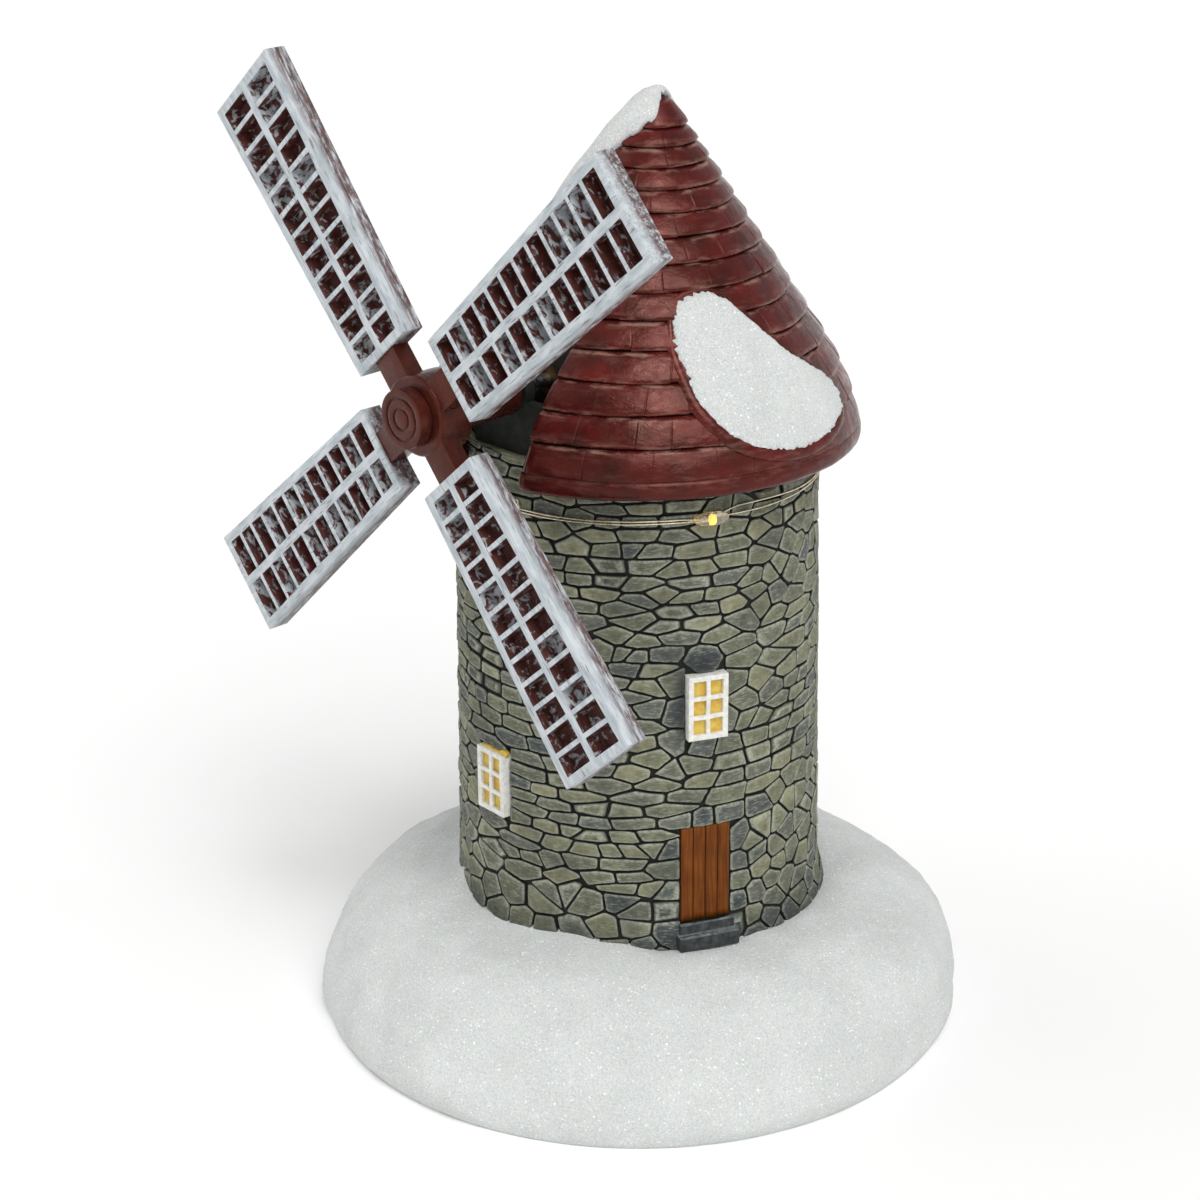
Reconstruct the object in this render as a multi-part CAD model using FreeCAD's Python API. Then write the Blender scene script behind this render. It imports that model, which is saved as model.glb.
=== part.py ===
import FreeCAD, Part
import math
import os

# A battery-driven windmill ornament: a stone tower on a snow mound, a shingled cap, four lattice sails on a
# windshaft that a small gear motor turns, and a thin light string wound round the tower under the eave.
# Millimetres. The origin is the centre of the underside, +Z is up and the sails face -Y.

V = FreeCAD.Vector
ORIGIN = V(0, 0, 0)
UP = V(0, 0, 1)
SAILWARD = V(0, -1, 0)

# Snow base
BASE_OUTLINE = [(73.0, 0), (74.3, 3.5), (73.2, 9), (70.6, 15), (66.5, 21), (60.8, 26), (53.5, 29.6), (46, 31)]
BASE_CAVITY = [(0, 3), (68.6, 3), (68.2, 8), (64.6, 14.6), (59.4, 20), (53, 23.4), (47, 24), (0, 24)]
BASE_TOP = 31.0
SEAT_Z = 27.0
SEAT_HOLE_R = 36.0
PLATE_R = 69.6
PLATE_T = 3.0
PLATE_GAP = 0.2
SEAT_GAP = 0.12
SCREW_BOSS_R = 3.6
SCREW_BOSS_AT = 42.0
SCREW_PILOT_TOP = 12.0
SCREW_R = 1.1
SCREW_HEAD_R = 2.4
SCREW_HEAD_T = 1.4
SCREW_LENGTH = 9.4
SCREW_SLOT_HALF = 0.3
SCREW_SINK = 0.6

# Tower
TOWER_TOP = 140.5
TOWER_REF_R = 40.0
TOWER_REF_Z = 129.6
TOWER_TAPER = 0.0159
TOWER_WALL = 2.8
DECK_T = 2.5
DECK_LEDGE = 2.4
LIGHT_HOLE = (2.8, 5.0)
WIRE_HOLE_R = 1.4

# Door, steps and windows, each at an angle round the tower counted from the sails
DOOR_ANGLE = 66.5
DOOR_WIDTH = 11.4
DOOR_BOTTOM = 36.8
DOOR_HEIGHT = 22.4
DOOR_RECESS = 1.6
DOOR_T = 1.4
PLANKS = 4
PLANK_GROOVE = (0.2, 0.35)
STEP_RISE = 2.4
STEP_WIDTHS = [12.6, 14.0]
STEP_REACH = [1.0, 2.4]
WINDOWS = {"door_side": (66.5, 87.5), "sail_side": (-4.6, 64.8)}
WINDOW_W = 9.1
WINDOW_H = 14.7
WINDOW_BORDER = 1.2
WINDOW_BAR = 0.9
WINDOW_PROUD = 1.3
WINDOW_INSET = 1.5
PANE_T = 0.8

# Roof cap
RIM_Z = 136.8
APEX_Z = 212.4
APEX_LEAN = 5.7
CONE_SLOPE = 0.705
CURL_FROM = 158.0
CURL = 0.0129
FASCIA_TOP = 140.4
RIM_COURSE_TOP = 147.4
COURSES = 12
TOP_COURSE_H = 3.5
LOW_COURSE_H = 6.0
COURSE_LIP = 0.35
ROOF_WALL = 3.2
CAVITY_LEVELS = [TOWER_TOP, 158, 178, 196]
GABLE_HALF = 12.0
GABLE_SPRING_Z = 163.0
GABLE_CUT = (-60.0, -18.0)
SNOW_T = 1.5
SNOW_LEVELS = [FASCIA_TOP + 1.2, 152, 164, 176, 188, 200, APEX_Z]

# Snow on the roof: angle round the roof, height, half length, half width, tilt
SNOW_PATCHES = {
    "roof_snow_right": (84.0, 158.6, 21.5, 13.0, -42.0),
    "roof_snow_top": (-78.0, 194.0, 18.5, 12.5, 90.0),
    "roof_snow_back": (184.0, 157.0, 23.0, 15.0, 8.0),
}

# Windshaft, hub and sails
SHAFT_Z = 154.0
SHAFT_R = 1.5
SHAFT_FRONT = -61.5
SHAFT_BACK = -10.9
BUSH_GAP = 0.05
BUSH_R = 2.6
FLANGE_R = 3.4
FLANGE_T = 0.6
SAIL_FACE = -63.1
SAIL_DEPTH = 5.1
SAIL_INNER = 14.5
SAIL_OUTER = 80.5
SAIL_INNER_HALF = 9.4
SAIL_OUTER_HALF = 11.8
SAIL_BORDER = 2.0
SAIL_SLAT = 1.1
SAIL_ROWS = 12
SAIL_BACKING = 1.4
SAIL_REST_ANGLE = 40.9
HUB_R = 8.5
HUB_BACK = -54.0
BOSS_R = 5.0
BOSS_BACK = -38.2
ARM_WIDTH = 7.0
ARM_FRONT = -62.6
ARM_BACK = -58.4
TENON = (1.6, 5.0, 2.6)
CAP_R = 6.2
CAP_T = 3.4
CAP_RINGS = (2.2, 4.4)
CAP_RING_HALF = 0.25
CAP_RING_DEPTH = 0.3

# Shaft cradle and gearbox
CRADLE_FRONT = -37.0
CRADLE_BACK = -34.5
CRADLE_HALF = 11.3
CRADLE_TOP = 152.0
CRADLE_FOOT = 4.6
CRADLE_SCREWS_X = 8.0
FOOT_T = 2.0
COLLAR_R = 3.2
COLLAR_GAP = 0.3
COLLAR_T = 2.5
BOX_HALF = 10.5
BOX_WALL = 1.5
BOX_FRONT = -26.0
BOX_SPLIT = -12.0
BOX_BACK = -10.5
BOX_BOTTOM = 125.0
BOX_TOP = 165.0
EAR_REACH = 7.5
EAR_Y = (-25.0, -13.0)
BOX_SCREWS = (15.0, (-22.0, -16.0))
DECK_SCREW_HEAD_R = 2.2
DECK_SCREW_HEAD_T = 1.3

# Gears: one module, full ratios from tooth counts
MODULE = 0.5
PRESSURE_ANGLE = math.radians(20)
ADDENDUM = 0.8 * MODULE
DEDENDUM = 1.2 * MODULE
BACKLASH = 0.1
OUTPUT_TEETH = 32
IDLER_SMALL_TEETH = 12
IDLER_LARGE_TEETH = 28
MOTOR_TEETH = 10
IDLER_Z = SHAFT_Z - MODULE * (OUTPUT_TEETH + IDLER_SMALL_TEETH) / 2
MOTOR_Z = IDLER_Z - MODULE * (IDLER_LARGE_TEETH + MOTOR_TEETH) / 2
OUTPUT_FACE = (-23.8, -20.2)
IDLER_SMALL_FACE = (-24.1, -19.6)
IDLER_LARGE_FACE = (-19.6, -16.4)
PINION_FACE = (-20.4, -15.6)
IDLER_HUB_R = 2.0
PIN_R = 0.75
PIN_GAP = 0.05
MOTOR_R = 7.6
MOTOR_FLAT = 6.0
MOTOR_LENGTH = 20.0
MOTOR_BOSS_R = 3.0
MOTOR_CAP_R = 4.5
MOTOR_CAP_T = 0.8
MOTOR_SHAFT_IN = 8.0
MOTOR_SHAFT_OUT = 8.6

# Battery bay and switch, in the base
BAY_X = 29.2
BAY_Y = (3.5, 37.5)
BAY_TOP = 21.0
BAY_WALL = 1.5
BAY_MOUTH_X = 27.5
BAY_MOUTH_Y = (5.5, 35.5)
BAY_DOOR_X = 29.8
BAY_DOOR_Y = (3.0, 38.0)
BAY_DOOR_Z = (0.1, 1.5)
BAY_TONGUE = 1.2
BAY_TONGUE_Z = (0.7, 1.1)
BAY_GAP = 0.2
GRIP_RIBS = 5
GRIP_X = 20.0
GRIP_Y = (14.0, 27.0)
GRIP_PITCH = 1.6
GRIP_DEPTH = 0.5
LEAD_Y = 34.0
CELL_R = 7.1
CELL_NUB_R = 2.7
CELL_NUB_T = 1.5
CELL_LENGTH = 49.0
CELL_Z = 10.6
CELL_Y = (13.0, 28.0)
CONTACT_T = 0.4
CONTACT_HALF = 5.0
SPRING_R = (3.2, 1.8)
DOOR_SLIDE = 13.0
SWITCH_Y = -40.0
SWITCH_RECESS = (7.0, 3.5, 1.2)
SWITCH_SLOT = (4.0, 1.2)
SWITCH_CASE = (6.5, 3.0, 8.5)
SWITCH_HOLLOW = (5.0, 2.0, 6.6)
SWITCH_KNOB_X = (-3.6, -0.6)
SWITCH_FOOT_X = (-4.4, 0.2)
SWITCH_LEADS_X = 3.0
SWITCH_LEADS_Z = 5.5

# Light string
WIRE_R = 0.22
WIRE_HEIGHTS = (129.6, 130.9)
WIRE_MIDDLE = sum(WIRE_HEIGHTS) / 2
WIRE_GAP = 0.06
LED_COUNT = 5
LED_FIRST_ANGLE = 67.5
LED_R = 1.15
LED_HALF = 2.0
LEAD_R = 0.7
LEAD_START = 36.4
LEAD_BENDS = (2.2, 7.0)


def box(x0, x1, y0, y1, z0, z1):
    return Part.makeBox(x1 - x0, y1 - y0, z1 - z0, V(x0, y0, z0))


def upright(radius, z0, z1, x=0.0, y=0.0):
    return Part.makeCylinder(radius, z1 - z0, V(x, y, z0), UP)


def across(radius, y0, y1, z, x=0.0):
    """A cylinder along Y, from y0 to the larger y1."""
    return Part.makeCylinder(radius, y1 - y0, V(x, y0, z), V(0, 1, 0))


def plate_xz(points, y0, y1):
    """A flat outline in X and Z, given thickness from y0 to y1."""
    corners = [V(x, y0, z) for x, z in points]
    face = Part.Face(Part.makePolygon(corners + corners[:1]))
    return face.extrude(V(0, y1 - y0, 0))


def lathe(points):
    """A solid turned round Z from an outline of radius and height."""
    corners = [V(r, 0, z) for r, z in points]
    face = Part.Face(Part.makePolygon(corners + corners[:1]))
    return face.revolve(ORIGIN, UP, 360)


def fuse_all(shapes):
    shapes = list(shapes)
    return shapes[0].fuse(shapes[1:]).removeSplitter() if len(shapes) > 1 else shapes[0]


def group(shapes):
    return Part.makeCompound(list(shapes))


def round_tower(shape, angle):
    """Carry a shape built facing the sails round the tower by an angle."""
    turned = shape.copy()
    turned.rotate(ORIGIN, UP, angle)
    return turned


def tower_radius(z):
    return TOWER_REF_R + TOWER_TAPER * (TOWER_REF_Z - z)


def roof_radius(z):
    """The cap's outline: a straight cone that curls in towards its rim."""
    return 0.5 + CONE_SLOPE * (APEX_Z - z) - CURL * max(0.0, CURL_FROM - z) ** 2


def roof_centre(z):
    """The cap leans back a little, away from the sails."""
    return APEX_LEAN * (z - RIM_Z) / (APEX_Z - RIM_Z)


# --- snow base ---------------------------------------------------------------------------------------------

def screw_places():
    return [(sx * SCREW_BOSS_AT, sy * SCREW_BOSS_AT) for sx in (-1, 1) for sy in (-1, 1)]


def snow_base():
    curve = Part.BSplineCurve()
    curve.interpolate([V(r, 0, z) for r, z in BASE_OUTLINE])
    last = V(BASE_OUTLINE[-1][0], 0, BASE_OUTLINE[-1][1])
    corners = [last, V(0, 0, BASE_TOP), ORIGIN, V(BASE_OUTLINE[0][0], 0, 0)]
    wire = Part.Wire([curve.toShape()] + Part.makePolygon(corners).Edges)
    mound = Part.Face(wire).revolve(ORIGIN, UP, 360)
    mound = mound.cut(lathe(BASE_CAVITY))
    mound = mound.cut(upright(PLATE_R + PLATE_GAP, 0, PLATE_T))
    mound = mound.cut(upright(tower_radius(SEAT_Z) + SEAT_GAP, SEAT_Z, BASE_TOP + 1))
    mound = mound.cut(upright(SEAT_HOLE_R, BASE_CAVITY[-1][1] - 1, SEAT_Z + 1))
    bosses = [upright(SCREW_BOSS_R, PLATE_T, BASE_CAVITY[-2][1], x, y) for x, y in screw_places()]
    mound = mound.fuse(bosses)
    for x, y in screw_places():
        mound = mound.cut(upright(SCREW_R, PLATE_T, SCREW_PILOT_TOP, x, y))
    return mound


def base_plate():
    near, far = -BAY_DOOR_X - BAY_GAP, BAY_DOOR_X + BAY_GAP + DOOR_SLIDE
    low_y, high_y = BAY_DOOR_Y[0] - BAY_GAP, BAY_DOOR_Y[1] + BAY_GAP
    low_z, high_z = BAY_TONGUE_Z[0] - BAY_GAP, BAY_TONGUE_Z[1] + BAY_GAP
    plate = upright(PLATE_R, 0, PLATE_T)
    plate = plate.cut(box(-BAY_MOUTH_X, BAY_MOUTH_X, *BAY_MOUTH_Y, -1, PLATE_T + 1))
    plate = plate.cut(box(near, far, low_y, high_y, -1, BAY_DOOR_Z[1] + BAY_GAP))
    plate = plate.cut(box(near, far, low_y - BAY_TONGUE, high_y + BAY_TONGUE, low_z, high_z))
    long, wide, deep = SWITCH_RECESS
    plate = plate.cut(box(-long, long, SWITCH_Y - wide, SWITCH_Y + wide, -1, deep))
    long, wide = SWITCH_SLOT
    plate = plate.cut(box(-long, long, SWITCH_Y - wide, SWITCH_Y + wide, -1, PLATE_T + 1))
    for x, y in screw_places():
        plate = plate.cut(upright(SCREW_HEAD_R + SCREW_SINK, -1, SCREW_SINK + SCREW_HEAD_T, x, y))
        plate = plate.cut(upright(SCREW_R + BAY_GAP, 0, PLATE_T + 1, x, y))
    return plate


def screw_slot(x, y, face):
    """The cut that a screwdriver turns, across the middle of a head whose face is at that height."""
    return box(x - 2, x + 2, y - SCREW_SLOT_HALF, y + SCREW_SLOT_HALF, face - 0.5, face + 0.5)


def base_screw(x, y, head_z):
    """A pan-head screw driven upwards from its head's face at head_z."""
    head = upright(SCREW_HEAD_R, head_z, head_z + SCREW_HEAD_T, x, y)
    shank = upright(SCREW_R, head_z + SCREW_HEAD_T, head_z + SCREW_HEAD_T + SCREW_LENGTH, x, y)
    return head.fuse(shank).cut(screw_slot(x, y, head_z))


def base_screws():
    return group(base_screw(x, y, SCREW_SINK) for x, y in screw_places())


# --- batteries and switch ----------------------------------------------------------------------------------

def battery_box():
    outer = box(-BAY_X, BAY_X, BAY_Y[0], BAY_Y[1], PLATE_T, BAY_TOP)
    inner = box(BAY_WALL - BAY_X, BAY_X - BAY_WALL, BAY_Y[0] + BAY_WALL, BAY_Y[1] - BAY_WALL,
                PLATE_T - 1, BAY_TOP - BAY_WALL)
    lead_hole = upright(LEAD_R + 0.1, BAY_TOP - BAY_WALL - 1, BAY_TOP + 1, 0, LEAD_Y)
    return outer.cut(inner).cut(lead_hole)


def battery_cell(y, plus_end):
    half = CELL_LENGTH / 2
    can = Part.makeCylinder(CELL_R, CELL_LENGTH, V(-half, y, CELL_Z), V(1, 0, 0))
    can = can.makeFillet(0.8, can.Edges)
    nub = Part.makeCylinder(CELL_NUB_R, CELL_NUB_T, V(plus_end * half, y, CELL_Z), V(plus_end, 0, 0))
    return can.fuse(nub)


def contact(y0, y1, end, springs):
    """A contact strip at one end of the bay, with a pressed dome for each cell it feeds."""
    wall = end * (BAY_X - BAY_WALL)
    inside = wall - CONTACT_T * end
    strip = box(min(wall, inside), max(wall, inside), y0 - CONTACT_HALF, y1 + CONTACT_HALF,
                CELL_Z - CONTACT_HALF, CELL_Z + CONTACT_HALF)
    for y, length in springs:
        strip = strip.fuse(Part.makeCone(*SPRING_R, length, V(inside, y, CELL_Z), V(-end, 0, 0)))
    return strip


def battery_contacts():
    flat_end = BAY_X - BAY_WALL - CONTACT_T - CELL_LENGTH / 2
    nub_end = flat_end - CELL_NUB_T
    low, high = CELL_Y
    return group([
        contact(low, high, 1, [(low, nub_end), (high, flat_end)]),
        contact(low, low, -1, [(low, flat_end)]),
        contact(high, high, -1, [(high, nub_end)]),
    ])


def battery_door():
    low_y, high_y = BAY_DOOR_Y
    door = box(-BAY_DOOR_X, BAY_DOOR_X, low_y, high_y, *BAY_DOOR_Z)
    door = door.fuse(box(-BAY_DOOR_X, BAY_DOOR_X, low_y - BAY_TONGUE, high_y + BAY_TONGUE, *BAY_TONGUE_Z))
    for k in range(GRIP_RIBS):
        x = GRIP_X + GRIP_PITCH * k
        door = door.cut(box(x, x + GRIP_PITCH / 2, *GRIP_Y, 0, GRIP_DEPTH))
    return door.removeSplitter()


def switch_body():
    long, wide, top = SWITCH_CASE
    body = box(-long, long, SWITCH_Y - wide, SWITCH_Y + wide, PLATE_T, top)
    long, wide, top = SWITCH_HOLLOW
    return body.cut(box(-long, long, SWITCH_Y - wide, SWITCH_Y + wide, PLATE_T - 1, top))


def switch_slider():
    knob_half, foot_half = SWITCH_SLOT[1] - BAY_GAP, SWITCH_HOLLOW[1] - 0.3
    knob = box(*SWITCH_KNOB_X, SWITCH_Y - knob_half, SWITCH_Y + knob_half, 0.5, PLATE_T + BAY_GAP)
    foot = box(*SWITCH_FOOT_X, SWITCH_Y - foot_half, SWITCH_Y + foot_half,
               PLATE_T + BAY_GAP, SWITCH_HOLLOW[2] - 1)
    return knob.fuse(foot)


def switch_leads():
    start = SWITCH_Y + SWITCH_CASE[1]
    return group(across(LEAD_R, start, BAY_Y[0], SWITCH_LEADS_Z, x)
                 for x in (-SWITCH_LEADS_X, SWITCH_LEADS_X))


# --- tower -------------------------------------------------------------------------------------------------

def window_body(z):
    """The block that a window fills, facing the sails."""
    face = -tower_radius(z) - WINDOW_PROUD
    back = -tower_radius(z) + WINDOW_INSET
    return box(-WINDOW_W / 2, WINDOW_W / 2, face, back, z - WINDOW_H / 2, z + WINDOW_H / 2)


def window_frame(z):
    frame = window_body(z)
    face = -tower_radius(z) - WINDOW_PROUD
    back = -tower_radius(z) + WINDOW_INSET
    inner_w = WINDOW_W - 2 * WINDOW_BORDER
    inner_h = WINDOW_H - 2 * WINDOW_BORDER
    pane_w = (inner_w - WINDOW_BAR) / 2
    pane_h = (inner_h - 2 * WINDOW_BAR) / 3
    for column in range(2):
        for row in range(3):
            x = -inner_w / 2 + column * (pane_w + WINDOW_BAR)
            low = z - inner_h / 2 + row * (pane_h + WINDOW_BAR)
            frame = frame.cut(box(x, x + pane_w, face - 1, back + 1, low, low + pane_h))
    rebate = box(-inner_w / 2, inner_w / 2, face + WINDOW_BAR, back + 1, z - inner_h / 2, z + inner_h / 2)
    return frame.cut(rebate)


def window_pane(z):
    front = -tower_radius(z) - WINDOW_PROUD + WINDOW_BAR
    half_w = WINDOW_W / 2 - WINDOW_BORDER
    half_h = WINDOW_H / 2 - WINDOW_BORDER
    return box(-half_w, half_w, front, front + PANE_T, z - half_h, z + half_h)


def door_block(depth):
    face = -tower_radius(DOOR_BOTTOM)
    return box(-DOOR_WIDTH / 2, DOOR_WIDTH / 2, face - 3, face + depth,
               DOOR_BOTTOM, DOOR_BOTTOM + DOOR_HEIGHT)


def door_panel():
    face = -tower_radius(DOOR_BOTTOM) + DOOR_RECESS - DOOR_T
    panel = box(-DOOR_WIDTH / 2, DOOR_WIDTH / 2, face, face + DOOR_T, DOOR_BOTTOM, DOOR_BOTTOM + DOOR_HEIGHT)
    for k in range(1, PLANKS):
        x = -DOOR_WIDTH / 2 + k * DOOR_WIDTH / PLANKS
        half, depth = PLANK_GROOVE
        panel = panel.cut(box(x - half, x + half, face - 1, face + depth, 0, TOWER_TOP))
    return round_tower(panel, DOOR_ANGLE)


def door_steps():
    steps = []
    for k, (width, reach) in enumerate(zip(STEP_WIDTHS, STEP_REACH)):
        top = DOOR_BOTTOM - k * STEP_RISE
        face = -tower_radius(SEAT_Z)
        steps.append(box(-width / 2, width / 2, face - reach, face + 1.5, BASE_TOP, top))
    block = fuse_all(steps).cut(upright(tower_radius(SEAT_Z) + 0.02, 0, TOWER_TOP))
    return round_tower(block, DOOR_ANGLE)


def tower_shell():
    low, high = tower_radius(SEAT_Z), tower_radius(TOWER_TOP)
    height = TOWER_TOP - SEAT_Z
    outer = Part.makeCone(low, high, height, V(0, 0, SEAT_Z), UP)
    inner = Part.makeCone(low - TOWER_WALL, high - TOWER_WALL, height, V(0, 0, SEAT_Z), UP)
    shell = outer.cut(inner)
    deck_under = TOWER_TOP - DECK_T
    ledge = upright(high - TOWER_WALL + 0.5, deck_under - 2.5, deck_under)
    ledge = ledge.cut(upright(high - TOWER_WALL - DECK_LEDGE, 0, TOWER_TOP))
    shell = shell.fuse(ledge)
    for angle, z in WINDOWS.values():
        shell = shell.cut(round_tower(window_body(z), angle))
        half_w, half_h = LIGHT_HOLE
        light = box(-half_w, half_w, -low - WINDOW_PROUD, TOWER_WALL - high + 1, z - half_h, z + half_h)
        shell = shell.cut(round_tower(light, angle))
    shell = shell.cut(round_tower(door_block(DOOR_RECESS), DOOR_ANGLE))
    return shell.cut(across(WIRE_HOLE_R, high - DECK_LEDGE - TOWER_WALL - 1, low + 1, WIRE_MIDDLE))


def tower_deck():
    deck = upright(tower_radius(TOWER_TOP) - TOWER_WALL - 0.1, TOWER_TOP - DECK_T, TOWER_TOP)
    deck = deck.cut(box(-BOX_HALF - 1, BOX_HALF + 1, BOX_FRONT - 1, BOX_BACK + MOTOR_LENGTH + 1, 0, APEX_Z))
    for x, y in deck_screw_places():
        deck = deck.cut(upright(SCREW_R, 0, TOWER_TOP + 1, x, y))
    return deck


# --- roof --------------------------------------------------------------------------------------------------

def cone_ring(z0, z1, r0, r1):
    return Part.makeCone(r0, r1, z1 - z0, V(0, roof_centre((z0 + z1) / 2), z0), UP)


def course_heights():
    """Edges of the shingle courses, from the rim course up; they grow shorter towards the top."""
    edges = [RIM_COURSE_TOP]
    for k in range(COURSES):
        edges.append(edges[-1] + LOW_COURSE_H + (TOP_COURSE_H - LOW_COURSE_H) * k / (COURSES - 1))
    return edges


def roof_solid():
    """The cap with nothing hollowed out."""
    edges = [FASCIA_TOP] + course_heights()
    fascia = Part.makeCylinder(roof_radius(RIM_Z) + 0.4, FASCIA_TOP - RIM_Z, V(0, 0, RIM_Z), UP)
    fascia = fascia.makeFillet(1.4, [edge for edge in fascia.Edges if edge.Length > 10])
    pieces = [fascia]
    for low, high in zip(edges, edges[1:]):
        pieces.append(cone_ring(low, high, roof_radius(low) + COURSE_LIP, roof_radius(high) - COURSE_LIP))
    pieces.append(cone_ring(edges[-1], APEX_Z, roof_radius(edges[-1]) + COURSE_LIP, 0.6))
    return pieces[0].fuse(pieces[1:])


def roof_cavity():
    pieces = [upright(tower_radius(RIM_Z) + 0.3, RIM_Z - 1, TOWER_TOP)]
    for low, high in zip(CAVITY_LEVELS, CAVITY_LEVELS[1:]):
        pieces.append(cone_ring(low, high, roof_radius(low) - ROOF_WALL - 1.5, roof_radius(high) - ROOF_WALL))
    return pieces


def gable_opening():
    slot = box(-GABLE_HALF, GABLE_HALF, *GABLE_CUT, RIM_Z - 5, GABLE_SPRING_Z)
    return slot.fuse(across(GABLE_HALF, *GABLE_CUT, GABLE_SPRING_Z))


def roof_shell():
    shell = roof_solid()
    for hollow in roof_cavity():
        shell = shell.cut(hollow)
    return shell.cut(gable_opening())


def roof_snow(angle, z, half_length, half_width, tilt):
    """A patch of snow: the cap's outline grown outwards, inside an oval seen square on, less the cap."""
    grown = [cone_ring(low, high, roof_radius(low) + SNOW_T, roof_radius(high) + SNOW_T)
             for low, high in zip(SNOW_LEVELS, SNOW_LEVELS[1:])]
    grown.append(Part.makeSphere(SNOW_T + 0.4, V(0, roof_centre(APEX_Z), APEX_Z)))
    oval = Part.Ellipse(ORIGIN, half_length, half_width).toShape()
    prism = Part.Face(Part.Wire([oval])).extrude(V(0, 0, 60))
    prism.rotate(ORIGIN, UP, tilt)
    prism.rotate(ORIGIN, V(1, 0, 0), 90)
    prism.translate(V(0, 0, z))
    prism = round_tower(prism, angle)
    prism.translate(V(0, roof_centre(z), 0))
    return grown[0].fuse(grown[1:]).common(prism)


# --- windshaft, hub and sails ------------------------------------------------------------------------------

def about_shaft(shape, angle):
    turned = shape.copy()
    turned.rotate(V(0, 0, SHAFT_Z), SAILWARD, angle)
    return turned


def windshaft():
    return across(SHAFT_R, SHAFT_FRONT, SHAFT_BACK, SHAFT_Z)


def hub_cross():
    length, width, thick = TENON
    middle = (ARM_FRONT + ARM_BACK) / 2
    arm = box(0, SAIL_INNER, ARM_FRONT, ARM_BACK, SHAFT_Z - ARM_WIDTH / 2, SHAFT_Z + ARM_WIDTH / 2)
    tenon = box(0, SAIL_INNER + length, middle - thick / 2, middle + thick / 2,
                SHAFT_Z - width / 2, SHAFT_Z + width / 2)
    arms = [about_shaft(arm.fuse(tenon), SAIL_REST_ANGLE + 90 * k) for k in range(4)]
    drum = across(HUB_R, SAIL_FACE, HUB_BACK, SHAFT_Z)
    drum = drum.makeFillet(0.8, [edge for edge in drum.Edges if edge.Length > 2 * HUB_R])
    boss = across(BOSS_R, HUB_BACK - 1, BOSS_BACK, SHAFT_Z)
    hub = drum.fuse(arms + [boss]).removeSplitter()
    return hub.cut(across(SHAFT_R, SHAFT_FRONT, BOSS_BACK + 1, SHAFT_Z))


def hub_cap():
    cap = across(CAP_R, SAIL_FACE - CAP_T, SAIL_FACE, SHAFT_Z)
    cap = cap.makeFillet(0.7, [cap.Edges[0]])
    face = SAIL_FACE - CAP_T
    for radius in CAP_RINGS:
        ring = across(radius + CAP_RING_HALF, face - 1, face + CAP_RING_DEPTH, SHAFT_Z)
        ring = ring.cut(across(radius - CAP_RING_HALF, face - 2, SAIL_FACE, SHAFT_Z))
        cap = cap.cut(ring)
    return cap


def sail_half(distance):
    """Half of a sail's width at a distance from the shaft."""
    share = (distance - SAIL_INNER) / (SAIL_OUTER - SAIL_INNER)
    return SAIL_INNER_HALF + share * (SAIL_OUTER_HALF - SAIL_INNER_HALF)


def sail():
    """One sail, reaching along +X from the shaft: a tapered tray of two columns of open cells."""
    back = SAIL_FACE + SAIL_DEPTH
    outline = [(SAIL_INNER, -SAIL_INNER_HALF), (SAIL_OUTER, -SAIL_OUTER_HALF),
               (SAIL_OUTER, SAIL_OUTER_HALF), (SAIL_INNER, SAIL_INNER_HALF)]
    tray = plate_xz([(x, SHAFT_Z + z) for x, z in outline], SAIL_FACE, back)
    pitch = (SAIL_OUTER - SAIL_INNER - 2 * SAIL_BORDER + SAIL_SLAT) / SAIL_ROWS
    for row in range(SAIL_ROWS):
        near = SAIL_INNER + SAIL_BORDER + row * pitch
        far = near + pitch - SAIL_SLAT
        for side in (-1, 1):
            inside = side * SAIL_BORDER / 2
            corners = [(near, inside), (far, inside),
                       (far, side * (sail_half(far) - SAIL_BORDER)),
                       (near, side * (sail_half(near) - SAIL_BORDER))]
            tray = tray.cut(plate_xz([(x, SHAFT_Z + z) for x, z in corners],
                                     SAIL_FACE - 1, back - SAIL_BACKING))
    length, width, thick = TENON
    middle = (ARM_FRONT + ARM_BACK) / 2
    socket = box(0, SAIL_INNER + length, middle - thick / 2, middle + thick / 2,
                 SHAFT_Z - width / 2, SHAFT_Z + width / 2)
    return tray.cut(socket)


# --- cradle, bushes and gearbox ----------------------------------------------------------------------------

def cradle_screw_places():
    y = CRADLE_BACK + CRADLE_FOOT / 2
    return [(-CRADLE_SCREWS_X, y), (CRADLE_SCREWS_X, y)]


def box_screw_places():
    x, rows = BOX_SCREWS
    return [(side * x, y) for side in (-1, 1) for y in rows]


def deck_screw_places():
    return cradle_screw_places() + box_screw_places()


def deck_screw(x, y, seat):
    """A pan-head screw driven down into the deck through a foot whose top is at seat."""
    face = seat + DECK_SCREW_HEAD_T
    head = upright(DECK_SCREW_HEAD_R, seat, face, x, y)
    shank = upright(SCREW_R, TOWER_TOP - DECK_T + 0.3, seat, x, y)
    return head.fuse(shank).cut(screw_slot(x, y, face))


def deck_screws():
    return group(deck_screw(x, y, TOWER_TOP + FOOT_T) for x, y in deck_screw_places())


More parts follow.
